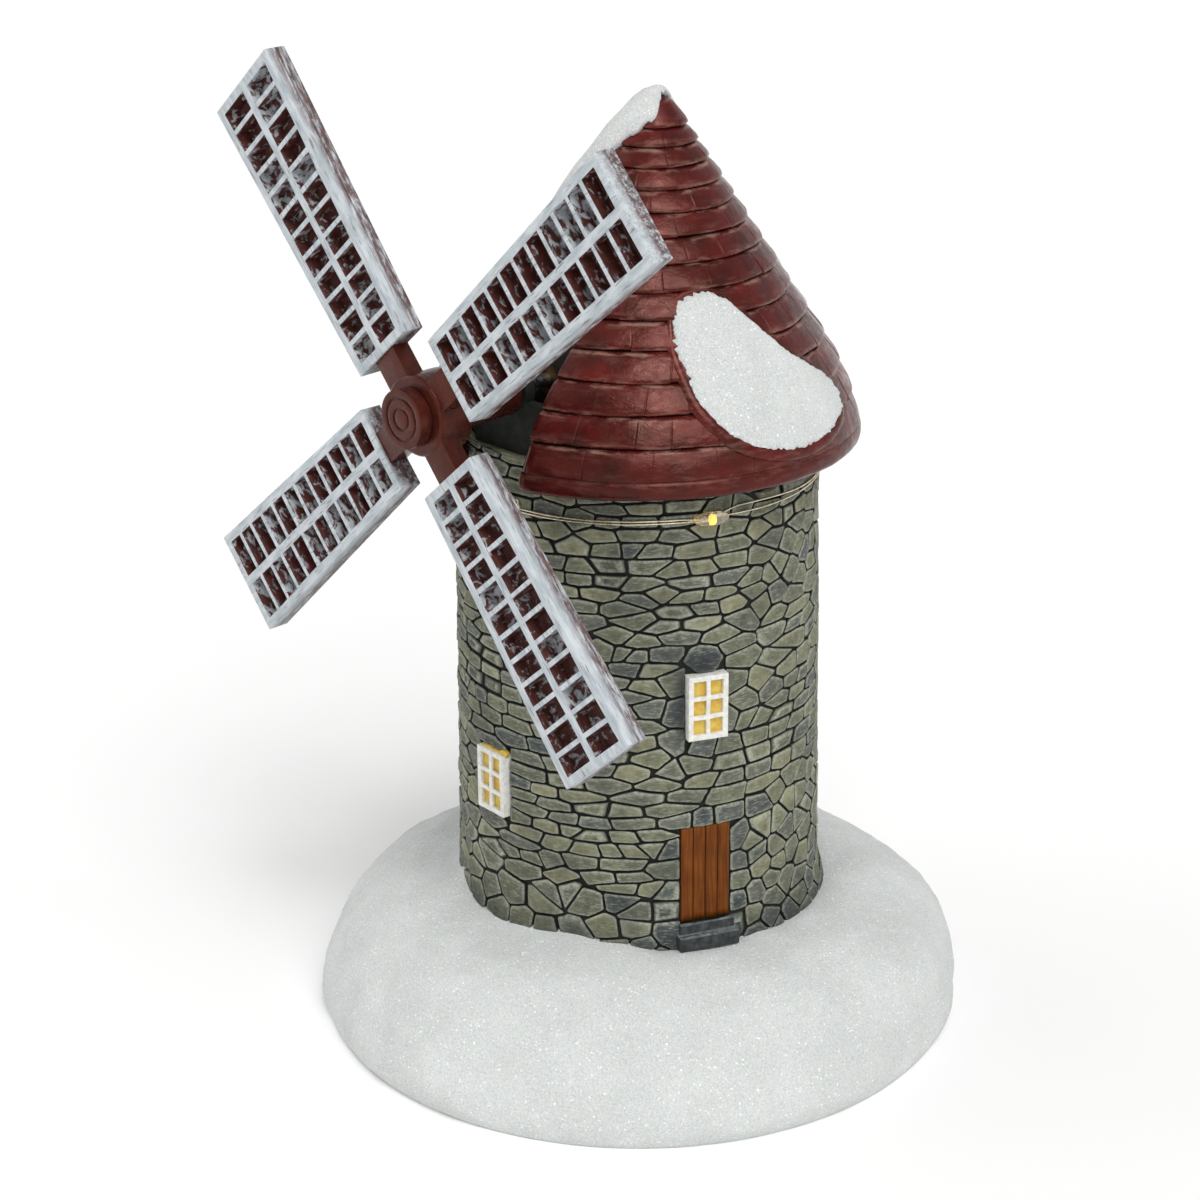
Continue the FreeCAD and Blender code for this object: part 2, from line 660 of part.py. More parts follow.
def shaft_cradle():
    wall = box(-CRADLE_HALF, CRADLE_HALF, CRADLE_FRONT, CRADLE_BACK, TOWER_TOP, CRADLE_TOP)
    ring = across(BOSS_R, CRADLE_FRONT, CRADLE_BACK, SHAFT_Z)
    foot = box(-CRADLE_HALF, CRADLE_HALF, CRADLE_BACK, CRADLE_BACK + CRADLE_FOOT,
               TOWER_TOP, TOWER_TOP + FOOT_T)
    cradle = wall.fuse([ring, foot]).removeSplitter()
    cradle = cradle.cut(across(BUSH_R, CRADLE_FRONT - 1, CRADLE_BACK + 1, SHAFT_Z))
    for x, y in cradle_screw_places():
        cradle = cradle.cut(upright(SCREW_R, TOWER_TOP - 1, TOWER_TOP + FOOT_T + 1, x, y))
    return cradle


def bush(front, back):
    sleeve = across(BUSH_R, front, back, SHAFT_Z)
    flange = across(FLANGE_R, front - FLANGE_T, front, SHAFT_Z)
    return sleeve.fuse(flange).cut(across(SHAFT_R + BUSH_GAP, front - 2, back + 1, SHAFT_Z))


def shaft_collar():
    front = CRADLE_BACK + COLLAR_GAP
    collar = across(COLLAR_R, front, front + COLLAR_T, SHAFT_Z)
    return collar.cut(across(SHAFT_R, CRADLE_FRONT, BOX_FRONT, SHAFT_Z))


def gearbox_housing():
    outer = box(-BOX_HALF, BOX_HALF, BOX_FRONT, BOX_SPLIT, BOX_BOTTOM, BOX_TOP)
    inner = box(BOX_WALL - BOX_HALF, BOX_HALF - BOX_WALL, BOX_FRONT + BOX_WALL, BOX_SPLIT + 1,
                BOX_BOTTOM + BOX_WALL, BOX_TOP - BOX_WALL)
    housing = outer.cut(inner)
    for side in (-1, 1):
        ear = box(BOX_HALF, BOX_HALF + EAR_REACH, *EAR_Y, TOWER_TOP, TOWER_TOP + FOOT_T)
        housing = housing.fuse(ear if side > 0 else ear.mirror(ORIGIN, V(1, 0, 0)))
    for x, y in box_screw_places():
        housing = housing.cut(upright(SCREW_R, TOWER_TOP - 1, TOWER_TOP + FOOT_T + 1, x, y))
    housing = housing.cut(across(BUSH_R, BOX_FRONT - 1, BOX_FRONT + BOX_WALL + 0.1, SHAFT_Z))
    return housing.cut(across(PIN_R, BOX_FRONT - 1, BOX_FRONT + BOX_WALL + 1, IDLER_Z))


def gearbox_cover():
    cover = box(-BOX_HALF, BOX_HALF, BOX_SPLIT, BOX_BACK, BOX_BOTTOM, BOX_TOP)
    cover = cover.cut(across(SHAFT_R + BUSH_GAP, BOX_SPLIT - 1, BOX_BACK + 1, SHAFT_Z))
    cover = cover.cut(across(PIN_R, BOX_SPLIT - 1, BOX_BACK + 1, IDLER_Z))
    return cover.cut(across(MOTOR_BOSS_R, BOX_SPLIT - 1, BOX_BACK + 1, MOTOR_Z))


def idler_pin():
    return across(PIN_R, BOX_FRONT, BOX_BACK, IDLER_Z)


def motor():
    can = across(MOTOR_R, BOX_BACK, BOX_BACK + MOTOR_LENGTH, MOTOR_Z)
    back = BOX_BACK + MOTOR_LENGTH
    flats = box(-MOTOR_FLAT, MOTOR_FLAT, BOX_BACK, back, MOTOR_Z - MOTOR_R, MOTOR_Z + MOTOR_R)
    boss = across(MOTOR_BOSS_R, BOX_SPLIT, BOX_BACK, MOTOR_Z)
    end_cap = across(MOTOR_CAP_R, back, back + MOTOR_CAP_T, MOTOR_Z)
    body = can.common(flats).fuse([boss, end_cap])
    return body.cut(across(PIN_R + PIN_GAP, BOX_SPLIT - 1, BOX_BACK + MOTOR_SHAFT_IN + 1, MOTOR_Z))


def motor_shaft():
    return across(PIN_R, BOX_SPLIT - MOTOR_SHAFT_OUT, BOX_BACK + MOTOR_SHAFT_IN, MOTOR_Z)


# --- gears -------------------------------------------------------------------------------------------------

def involute(base_radius, radius):
    """Angle that an involute has turned through where it reaches a radius."""
    ratio = math.sqrt(max(0.0, (radius / base_radius) ** 2 - 1))
    return ratio - math.atan(ratio)


def gear_outline(teeth, gap_on_top):
    """A spur gear's outline. A tooth points straight up, or a gap does where gap_on_top."""
    pitch_r = MODULE * teeth / 2
    base_r = pitch_r * math.cos(PRESSURE_ANGLE)
    tip_r = pitch_r + ADDENDUM
    root_r = pitch_r - DEDENDUM
    start_r = max(base_r, root_r)
    half = (math.pi * MODULE / 2 - BACKLASH) / 2 / pitch_r + involute(base_r, pitch_r)
    radii = [start_r + (tip_r - start_r) * k / 4 for k in range(5)]
    flank = [(root_r, half)] if root_r < start_r else []
    flank += [(r, half - involute(base_r, r)) for r in radii]
    outline = []
    for tooth in range(teeth):
        middle = math.pi / 2 + 2 * math.pi * (tooth + (0.5 if gap_on_top else 0.0)) / teeth
        turns = [(r, middle - angle) for r, angle in flank]
        turns += [(r, middle + angle) for r, angle in reversed(flank)]
        outline += [(r * math.cos(turn), r * math.sin(turn)) for r, turn in turns]
    return outline


def gear(teeth, y0, y1, z, gap_on_top=False):
    return plate_xz([(x, z + height) for x, height in gear_outline(teeth, gap_on_top)], y0, y1)


def output_gear():
    """Straight down this gear shows a gap, which the idler's top tooth enters."""
    wheel = gear(OUTPUT_TEETH, *OUTPUT_FACE, SHAFT_Z, gap_on_top=True)
    return wheel.cut(across(SHAFT_R, BOX_FRONT, BOX_BACK, SHAFT_Z))


def idler_gear():
    small = gear(IDLER_SMALL_TEETH, *IDLER_SMALL_FACE, IDLER_Z)
    large = gear(IDLER_LARGE_TEETH, *IDLER_LARGE_FACE, IDLER_Z)
    hub = across(IDLER_HUB_R, IDLER_LARGE_FACE[1], BOX_SPLIT - COLLAR_GAP, IDLER_Z)
    return small.fuse([large, hub]).cut(across(PIN_R + PIN_GAP, BOX_FRONT, BOX_BACK, IDLER_Z))


def motor_pinion():
    """The idler shows a tooth straight down, so this pinion starts with a gap on top."""
    wheel = gear(MOTOR_TEETH, *PINION_FACE, MOTOR_Z, gap_on_top=True)
    return wheel.cut(across(PIN_R, BOX_FRONT, BOX_BACK, MOTOR_Z))


# --- light string and leads --------------------------------------------------------------------------------

def led_wires():
    """Two thin wires tied round the tower, whose ends go in through a hole at the back."""
    rings = []
    for z in WIRE_HEIGHTS:
        radius = tower_radius(z) + WIRE_R + WIRE_GAP
        ring = Part.makeTorus(radius, WIRE_R, V(0, 0, z), UP)
        tail = across(WIRE_R, LEAD_START, radius, z)
        rings.append(ring.fuse(tail))
    return group(rings)


def led_drops():
    """Clear drops of resin over the lamps, spaced evenly along the wires."""
    drops = []
    z = WIRE_MIDDLE
    for k in range(LED_COUNT):
        middle = V(0, -tower_radius(z) - LED_R - 0.1, z)
        barrel = Part.makeCylinder(LED_R, 2 * LED_HALF, middle - V(LED_HALF, 0, 0), V(1, 0, 0))
        barrel = barrel.makeFillet(0.8, [edge for edge in barrel.Edges if edge.Length > LED_R * 6])
        drops.append(round_tower(barrel, LED_FIRST_ANGLE + 360 * k / LED_COUNT))
    return group(drops)


def elbow_lead(start, corner, end, bend):
    """A round lead along two straight runs at right angles, joined by an arc."""
    into = (start - corner).normalize()
    out = (end - corner).normalize()
    middle = corner + (into + out) * bend - (into + out) * (bend / math.sqrt(2))
    before = corner + into * bend
    after = corner + out * bend
    path = Part.Wire([Part.LineSegment(start, before).toShape(), Part.Arc(before, middle, after).toShape(),
                      Part.LineSegment(after, end).toShape()])
    ring = Part.Wire([Part.makeCircle(LEAD_R, start, into)])
    return path.makePipeShell([ring], True, False)


def led_lead():
    corner = V(0, LEAD_Y, WIRE_MIDDLE)
    return elbow_lead(V(0, LEAD_START, WIRE_MIDDLE), corner, V(0, LEAD_Y, BAY_TOP - BAY_WALL), LEAD_BENDS[0])


def motor_lead():
    back = BOX_BACK + MOTOR_LENGTH + MOTOR_CAP_T
    down_y = back + LEAD_BENDS[1] + 2
    return elbow_lead(V(0, back, MOTOR_Z), V(0, down_y, MOTOR_Z), V(0, down_y, BAY_TOP), LEAD_BENDS[1])


# --- the whole ornament ------------------------------------------------------------------------------------

def windows():
    nodes = {}
    for name, (angle, z) in WINDOWS.items():
        nodes["window_frame_" + name] = round_tower(window_frame(z), angle)
        nodes["window_pane_" + name] = round_tower(window_pane(z), angle)
    return nodes


def roof():
    shell = roof_shell()
    nodes = {"roof_cap": shell}
    for name, (angle, z, half_length, half_width, tilt) in SNOW_PATCHES.items():
        nodes[name] = roof_snow(angle, z, half_length, half_width, tilt).cut(roof_solid())
    return nodes


def sails():
    one = sail()
    return {"sail_%d" % (k + 1): about_shaft(one, SAIL_REST_ANGLE + 90 * k) for k in range(4)}


def ornament():
    nodes = {
        "snow_base": snow_base(),
        "base_plate": base_plate(),
        "base_screws": base_screws(),
        "battery_box": battery_box(),
        "battery_cell_front": battery_cell(CELL_Y[0], 1),
        "battery_cell_rear": battery_cell(CELL_Y[1], -1),
        "battery_contacts": battery_contacts(),
        "battery_door": battery_door(),
        "switch_body": switch_body(),
        "switch_slider": switch_slider(),
        "switch_leads": switch_leads(),
        "tower_shell": tower_shell(),
        "tower_deck": tower_deck(),
        "door_panel": door_panel(),
        "door_steps": door_steps(),
        "shaft_cradle": shaft_cradle(),
        "front_bush": bush(CRADLE_FRONT, CRADLE_BACK),
        "rear_bush": bush(BOX_FRONT, BOX_FRONT + BOX_WALL),
        "deck_screws": deck_screws(),
        "gearbox_housing": gearbox_housing(),
        "gearbox_cover": gearbox_cover(),
        "idler_pin": idler_pin(),
        "idler_gear": idler_gear(),
        "output_gear": output_gear(),
        "motor_body": motor(),
        "motor_shaft": motor_shaft(),
        "motor_pinion": motor_pinion(),
        "windshaft": windshaft(),
        "shaft_collar": shaft_collar(),
        "hub_cross": hub_cross(),
        "hub_cap": hub_cap(),
        "led_wires": led_wires(),
        "led_drops": led_drops(),
        "led_lead": led_lead(),
        "motor_lead": motor_lead(),
    }
    nodes.update(windows())
    nodes.update(roof())
    nodes.update(sails())
    return nodes


os.makedirs("parts", exist_ok=True)
for node, shape in ornament().items():
    shape.exportStep("parts/%s.step" % node)
    print(node, "valid" if shape.isValid() else "NOT VALID", "solids", len(shape.Solids),
          "volume %.1f" % shape.Volume)
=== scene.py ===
import math
import random

import bmesh
import bpy
from mathutils import Matrix, Vector, noise


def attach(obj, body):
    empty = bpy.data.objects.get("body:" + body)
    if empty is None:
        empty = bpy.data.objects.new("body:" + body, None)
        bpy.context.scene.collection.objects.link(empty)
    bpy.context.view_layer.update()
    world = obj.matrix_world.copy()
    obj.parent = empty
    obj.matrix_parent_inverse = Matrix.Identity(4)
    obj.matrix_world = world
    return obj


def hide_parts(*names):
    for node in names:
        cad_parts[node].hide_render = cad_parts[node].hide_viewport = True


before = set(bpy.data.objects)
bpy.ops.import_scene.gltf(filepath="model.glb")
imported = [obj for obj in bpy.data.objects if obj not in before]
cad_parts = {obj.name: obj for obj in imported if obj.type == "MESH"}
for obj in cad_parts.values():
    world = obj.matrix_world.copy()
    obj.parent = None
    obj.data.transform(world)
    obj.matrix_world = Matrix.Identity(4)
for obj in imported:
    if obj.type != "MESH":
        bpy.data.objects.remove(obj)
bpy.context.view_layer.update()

# A windmill ornament: a rubble tower on a snow mound, a shingled cap with snow on it, four lattice sails and
# a light string under the eave. Shapes are worked out in millimetres in the CAD frame (origin under the
# middle of the base, +Z up, sails facing -Y) and turned to metres when a piece is made. Angles are degrees
# round the tower, counted from the sails towards +X.
MM = 0.001

# Tower
TOWER_LOW = 27.0
TOWER_TOP = 140.5
TOWER_REF_R = 40.0
TOWER_REF_Z = 129.6
TOWER_TAPER = 0.0159
TOWER_WALL = 2.8
GIRTH = 2 * math.pi * TOWER_REF_R
COURSE_RISE = 3.15
STONE_LENGTH = 6.8
STONE_GAP = 2.4
RUBBLE_GAP = 3.35
COURSE_STRETCH = 12.0
RUBBLE_STRETCH = 1.3
STONE_NEIGHBOURS = 26
JOINT_HALF = 0.24
JOINT_DEPTH = 0.85
JAMB_OUT = 1.8
JAMB_RISE = 4.9
FLARE_ANGLE = 130
DOOR_ANGLE = 66.5
DOOR_WIDTH = 11.4
DOOR_BOTTOM = 36.8
DOOR_HEIGHT = 22.4
WINDOW_W = 9.1
WINDOW_H = 14.7
WINDOWS = {"door_side": (66.5, 87.5), "sail_side": (-4.6, 64.8)}

# Snow base: (radius, height) of its outside and of its hollow, and (angle, height) of the snow against the
# tower
BASE_TOP = 31.2
BASE_OUTLINE = [(72.6, 0), (73.8, 1.6), (74.2, 4.5), (73.2, 9), (70.6, 15), (66.5, 21), (60.8, 26),
                (53.5, 29.6), (46, 31), (39, BASE_TOP)]
BASE_CAVITY = [(36.5, 29), (36.2, 24), (47, 24), (53, 23.4), (59.4, 20), (64.6, 14.6), (68.2, 8), (68.6, 3),
               (69.8, 3), (69.8, 0)]
SNOW_AGAINST_TOWER = [(-60, 35.5), (-31, 36.0), (-17, 32.4), (-4, 32.4), (9, 33.7), (24, 33.9), (38, 32.0),
                      (56, 30.2), (70, 30.2), (84, 30.6), (95, 29.4), (105, 28.9), (132, 28.4), (165, 31.5),
                      (200, 33.0), (235, 31.0), (270, 33.5)]

# Roof
RIM_Z = 136.8
APEX_Z = 212.4
APEX_LEAN = 5.7
CONE_SLOPE = 0.705
CURL_FROM = 158.0
CURL = 0.0129
FASCIA_TOP = 140.4
RIM_COURSE_TOP = 147.4
COURSES = 12
TOP_COURSE_H = 3.5
LOW_COURSE_H = 6.0
ROOF_WALL = 3.6
SOFFIT_R = 40.3
CAVITY_TOP = 198.0
GABLE_HALF = 12.0
GABLE_SPRING_Z = 163.0
COURSE_END_ROUND = 1.5
RIM_END_ROUND = 2.6
ROOF_TIP = 209.9
SHINGLE_LENGTH = 11.5

# Sections of the roof's courses. Each row is a height above the course's lower edge, a share of the course's
# height to add to it, how far it stands out, how much pale wear and painted highlight, and how much painted
# shade there.
COURSE_FACE = [(0.0, 0.35, 0.76, 0.0, 0.0), (0.0, 0.5, 0.68, 0.0, 0.0), (-1.55, 1.0, 0.54, 0.2, 0.0),
               (-1.15, 1.0, 0.38, 1.0, 0.0), (-0.85, 1.0, 0.06, 0.8, 0.35), (-0.62, 1.0, -0.4, 0.0, 1.0),
               (0.35, 1.0, -0.6, 0.0, 1.0)]
LIP = [(0.9, 0.0, -1.6, 0.0, 1.0), (-0.15, 0.0, -0.75, 0.0, 1.0), (-0.52, 0.0, -0.05, 0.1, 0.9),
       (-0.52, 0.0, 0.45, 0.4, 0.5), (-0.18, 0.0, 0.84, 0.6, 0.0), (0.5, 0.0, 0.94, 0.2, 0.0)] + COURSE_FACE
RIM_COURSE = [(0.4, 0.0, -1.6, 0.0, 1.0), (-0.10, 0.0, 0.45, 0.0, 0.8), (0.15, 0.0, 0.66, 0.3, 0.2),
              (0.7, 0.0, 0.78, 0.2, 0.0)] + COURSE_FACE
FASCIA = [(0.9, 0.0, -2.0, 0.0, 1.0), (0.0, 0.0, -1.2, 0.0, 0.4), (-0.02, 0.0, -0.5, 0.0, 0.0),
          (0.16, 0.0, 0.1, 0.0, 0.0), (0.6, 0.0, 0.62, 0.0, 0.0), (1.3, 0.0, 0.95, 0.0, 0.0),
          (2.3, 0.0, 1.12, 0.1, 0.0), (3.2, 0.0, 1.14, 0.2, 0.0), (3.8, 0.0, 0.95, 0.2, 0.1),
          (4.1, 0.0, 0.5, 0.0, 0.8), (4.4, 0.0, -0.6, 0.0, 1.0)]

# Snow on the roof: (angle, height) of the crown's edge, and (length along the roof, height) of each patch's
# edge
CROWN_TOP = 211.6
CROWN_EDGE = [(-78, 176.5), (-48, 184.0), (-15, 197.2), (12, 202.6), (39.5, 205.2), (80, 210.1), (120, 210.6),
              (165, 208.5), (205, 199.0), (245, 185.0)]
DOOR_PATCH_ANGLE = 84.0
DOOR_PATCH_THICK = 1.7
DOOR_PATCH = [(-6.7, 174), (-12.4, 172.6), (-15.8, 166.5), (-16.6, 159.4), (-15, 152.5), (-8.4, 146.3),
              (2.9, 143.3), (13.2, 143.5), (22.0, 146.0), (23.6, 149.2), (21.6, 152.6), (16, 156.6),
              (9, 161.3), (0.9, 169.1), (-2.8, 172.7)]
BACK_PATCH_ANGLE = 183.0
BACK_PATCH_THICK = 1.8
BACK_PATCH = [(-9, 177), (-16.5, 173.5), (-15, 168.5), (-21, 164.2), (-18.5, 158), (-25, 152.2), (-20, 147),
              (-8, 144), (6, 144.2), (19, 146.5), (25, 154), (19, 164), (9, 172), (0, 177)]

# Sails
SHAFT_Z = 154.0
SAIL_FACE = -63.1
SAIL_DEPTH = 5.1
SAIL_INNER = 14.5
SAIL_OUTER = 80.5
SAIL_INNER_HALF = 9.4
SAIL_OUTER_HALF = 11.8
SAIL_BORDER = 2.0
SAIL_ROWS = 12
SAIL_REST_ANGLE = 40.9

# Light string
WIRE_R = 0.2
WIRE_PAIR_Z = 129.3
WIRE_LOW_Z = 129.9
LED_Z = 129.7
LED_COUNT = 5
LED_FIRST_ANGLE = 67.5
LED_R = 1.25
LED_TALL = 1.25
LED_HALF = 3.9

# Camera: where it stands and how it is turned
CAMERA_AZIMUTH = 45.52
CAMERA_AWAY = 565.5
CAMERA_HEIGHT = 317.2
CAMERA_PITCH = 21.286
CAMERA_YAW = -0.854
CAMERA_ROLL = -0.471
CAMERA_LENS = 81.09

# Lamps: (angle round the tower, height above the horizon, spread in degrees, strength). The sky is
# brightest at the horizon and dims up to a height of SKY_FADE, which is the sine of an angle.
LAMPS = {"key": (68, 52, 44, 1.75), "sparkle": (58, 58, 11, 0.30), "fill": (-50, 35, 60, 0.5)}
SKY_LOW = 0.95
SKY_HIGH = 0.41
SKY_FADE = 0.6
FLOOR_HALF = 20000


# --- shared shape helpers ----------------------------------------------------------------------------------

def around(angle, radius, z, centre_y=0.0):
    turn = math.radians(angle)
    return (radius * math.sin(turn), centre_y - radius * math.cos(turn), z)


def turned(angle, x, y, z):
    """A point at the front of the tower, carried round it by an angle."""
    return around(angle + math.degrees(math.atan2(x, -y)), math.hypot(x, y), z)


def ripple(x, y, z, size, seed=0.0):
    """Smooth noise from about -1 to 1, whose lumps are about that size in millimetres."""
    return noise.noise(Vector((x / size + seed, y / size - seed, z / size + 2 * seed)))


def wall_ripple(angle, z, size, seed=0.0):
    return ripple(*around(angle, TOWER_REF_R, z), size, seed)


def blend_step(low, high, value):
    share = min(1.0, max(0.0, (value - low) / (high - low)))
    return share * share * (3 - 2 * share)


def round_table(table, angle):
    """A value at an angle from a table of (angle, value), smooth and closed round the circle."""
    first = table[0][0]
    turn = (angle - first) % 360
    spots = [(a - first, v) for a, v in table] + [(360.0, table[0][1])]
    for (a0, v0), (a1, v1) in zip(spots, spots[1:]):
        if turn <= a1:
            return v0 + (v1 - v0) * blend_step(a0, a1, turn)
    return spots[-1][1]


def smooth_loop(points, count):
    """A closed smooth curve through points, as that many points."""
    loop = []
    n = len(points)
    for k in range(count):
        place = k * n / count
        i = int(place)
        t = place - i
        p0, p1, p2, p3 = (Vector(points[(i + j) % n]) for j in (-1, 0, 1, 2))
        loop.append(0.5 * (2 * p1 + (p2 - p0) * t + (2 * p0 - 5 * p1 + 4 * p2 - p3) * t * t
                           + (3 * p1 - p0 - 3 * p2 + p3) * t ** 3))
    return loop


class Skin:
    """Vertices, faces and named numbers per vertex of a piece that is being built, in millimetres."""

    def __init__(self, *layers):
        self.verts = []
        self.faces = []
        self.layers = {name: [] for name in layers}

    def add(self, point, **values):
        self.verts.append(point)
        for name, numbers in self.layers.items():
            numbers.append(values.get(name, 0.0))
        return len(self.verts) - 1

    def cover(self, rows, closed=True, looped=False, capped=False):
        """Quads between rows of one length: all round if closed, from last to first if looped."""
        n = len(rows[0])
        for low, high in zip(rows, rows[1:] + rows[:1] if looped else rows[1:]):
            for k in range(n if closed else n - 1):
                j = (k + 1) % n
                self.faces.append((low[k], low[j], high[j], high[k]))
        if capped:
            self.faces += [tuple(reversed(rows[0])), tuple(rows[-1])]

    def fan(self, ring, middle):
        for k, start in enumerate(ring):
            self.faces.append((start, ring[(k + 1) % len(ring)], middle))


def set_layer(mesh, name, numbers):
    mesh.attributes.new(name, "FLOAT", "POINT").data.foreach_set("value", numbers)


def piece(name, skin, body, material, replaces=(), weld=False):
    mesh = bpy.data.meshes.new(name)
    mesh.from_pydata([Vector(v) * MM for v in skin.verts], [], skin.faces)
    for layer, numbers in skin.layers.items():
        set_layer(mesh, layer, numbers)
    if weld:
        bm = bmesh.new()
        bm.from_mesh(mesh)
        bmesh.ops.remove_doubles(bm, verts=bm.verts, dist=0.01 * MM)
        bm.to_mesh(mesh)
        bm.free()
    mesh.validate()
    mesh.shade_smooth()
    mount(name, mesh, body, material, replaces)


def mount(name, mesh, body, material, replaces):
    obj = bpy.data.objects.new(name, mesh)
    bpy.context.scene.collection.objects.link(obj)
    mesh.materials.append(material)
    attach(obj, body)
    if replaces:
        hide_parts(*replaces)


def softened(node, name, body, material, bevel, wobble, measure=None):
    """A copy of a CAD part with rounded edges and slightly uneven faces, as cast and painted by hand.

    measure gives the layers' numbers for a point of the copy.
    """
    bm = bmesh.new()
    bm.from_mesh(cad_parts[node].data)
    bmesh.ops.remove_doubles(bm, verts=bm.verts, dist=0.002 * MM)
    bmesh.ops.dissolve_limit(bm, angle_limit=math.radians(1.0), verts=bm.verts, edges=bm.edges)
    sharp = [e for e in bm.edges if len(e.link_faces) == 2 and e.calc_face_angle(0.0) > math.radians(35)]
    bmesh.ops.bevel(bm, geom=sharp, offset=bevel * MM, segments=2, profile=0.6, affect="EDGES",
                    clamp_overlap=True)
    for v in bm.verts:
        spot = v.co / MM
        v.co += Vector([ripple(*spot, 4, seed) for seed in (1.1, 2.3, 3.7)]) * wobble * MM
    bmesh.ops.triangulate(bm, faces=[f for f in bm.faces if len(f.verts) > 4])
    mesh = bpy.data.meshes.new(name)
    bm.to_mesh(mesh)
    bm.free()
    mesh.shade_smooth()
    mesh.set_sharp_from_angle(angle=math.radians(50))
    if measure:
        measures = [measure(*(v.co / MM)) for v in mesh.vertices]
        for layer in measures[0]:
            set_layer(mesh, layer, [numbers[layer] for numbers in measures])
    mount(name, mesh, body, material, (node,))


# --- material helpers --------------------------------------------------------------------------------------

class Paint:
    """A material's node tree round one Principled shader. Sizes of texture lumps are millimetres."""

    def __init__(self, name, **settings):
        self.material = bpy.data.materials.new(name)
        self.material.use_nodes = True
        self.tree = self.material.node_tree
        self.shader = self.tree.nodes["Principled BSDF"]
        for key, value in settings.items():
            self.shader.inputs[key.replace("_", " ")].default_value = value

    def put(self, socket, value):
        if isinstance(value, bpy.types.NodeSocket):
            self.tree.links.new(value, socket)
        else:
            socket.default_value = value

    def set(self, key, value):
        self.put(self.shader.inputs[key], value)

    def node(self, kind, **settings):
        made = self.tree.nodes.new("ShaderNode" + kind)
        for key, value in settings.items():
            setattr(made, key, value)
        return made

    def stretched(self, place, divisors):
        mapping = self.node("Mapping")
        self.put(mapping.inputs["Vector"], place)
        mapping.inputs["Scale"].default_value = [1 / d for d in divisors]
        return mapping.outputs["Vector"]

    def place(self, stretch=(1, 1, 1)):
        """The point on the object, in millimetres, with each direction divided by its stretch."""
        return self.stretched(self.node("TexCoord").outputs["Object"], [MM * s for s in stretch])

    def local_place(self, *layers):
        """The point given by three layers of the piece, so that the texture follows its own directions."""
        joined = self.node("CombineXYZ")
        for socket, name in zip(joined.inputs, layers):
            self.put(socket, self.layer(name))
        return joined.outputs["Vector"]

    def noise(self, size, detail=3.0, stretch=(1, 1, 1), distortion=0.0, roughness=0.55, at=None):
        made = self.node("TexNoise")
        self.put(made.inputs["Vector"], self.stretched(at, stretch) if at else self.place(stretch))
        made.inputs["Scale"].default_value = 1 / size
        made.inputs["Detail"].default_value = detail
        made.inputs["Distortion"].default_value = distortion
        made.inputs["Roughness"].default_value = roughness
        return made.outputs["Fac"]

    def grains(self, size):
        """A random number for each cell of that size."""
        made = self.node("TexVoronoi")
        self.put(made.inputs["Vector"], self.place())
        made.inputs["Scale"].default_value = 1 / size
        split = self.node("SeparateColor")
        self.put(split.inputs[0], made.outputs["Color"])
        return split.outputs[0]

    def layer(self, name):
        return self.node("Attribute", attribute_name=name).outputs["Fac"]

    def ramp(self, value, *stops):
        """Stops are (place, number) or (place, colour)."""
        made = self.node("ValToRGB")
        self.put(made.inputs["Fac"], value)
        elements = made.color_ramp.elements
        while len(elements) < len(stops):
            elements.new(1.0)
        for element, (place, colour) in zip(elements, stops):
            element.position = place
            element.color = (*colour, 1.0) if isinstance(colour, tuple) else (colour, colour, colour, 1.0)
        return made.outputs["Color"]

    def mix(self, share, first, second, how="MIX"):
        made = self.node("Mix", data_type="RGBA", blend_type=how)
        self.put(made.inputs["Factor"], share)
        for socket, value in zip((made.inputs[6], made.inputs[7]), (first, second)):
            self.put(socket, (*value, 1.0) if isinstance(value, tuple) else value)
        return made.outputs[2]

    def times(self, first, second):
        return self.mix(1.0, first, second, "MULTIPLY")

    def sum(self, operation, first, second=0.0):
        made = self.node("Math", operation=operation)
        self.put(made.inputs[0], first)
        self.put(made.inputs[1], second)
        return made.outputs[0]

    def bump(self, height, depth, under=None):
        made = self.node("Bump")
        self.put(made.inputs["Height"], height)
        made.inputs["Strength"].default_value = 1.0
        made.inputs["Distance"].default_value = depth * MM
        if under:
            self.put(made.inputs["Normal"], under)
        self.set("Normal", made.outputs["Normal"])
        return made.outputs["Normal"]


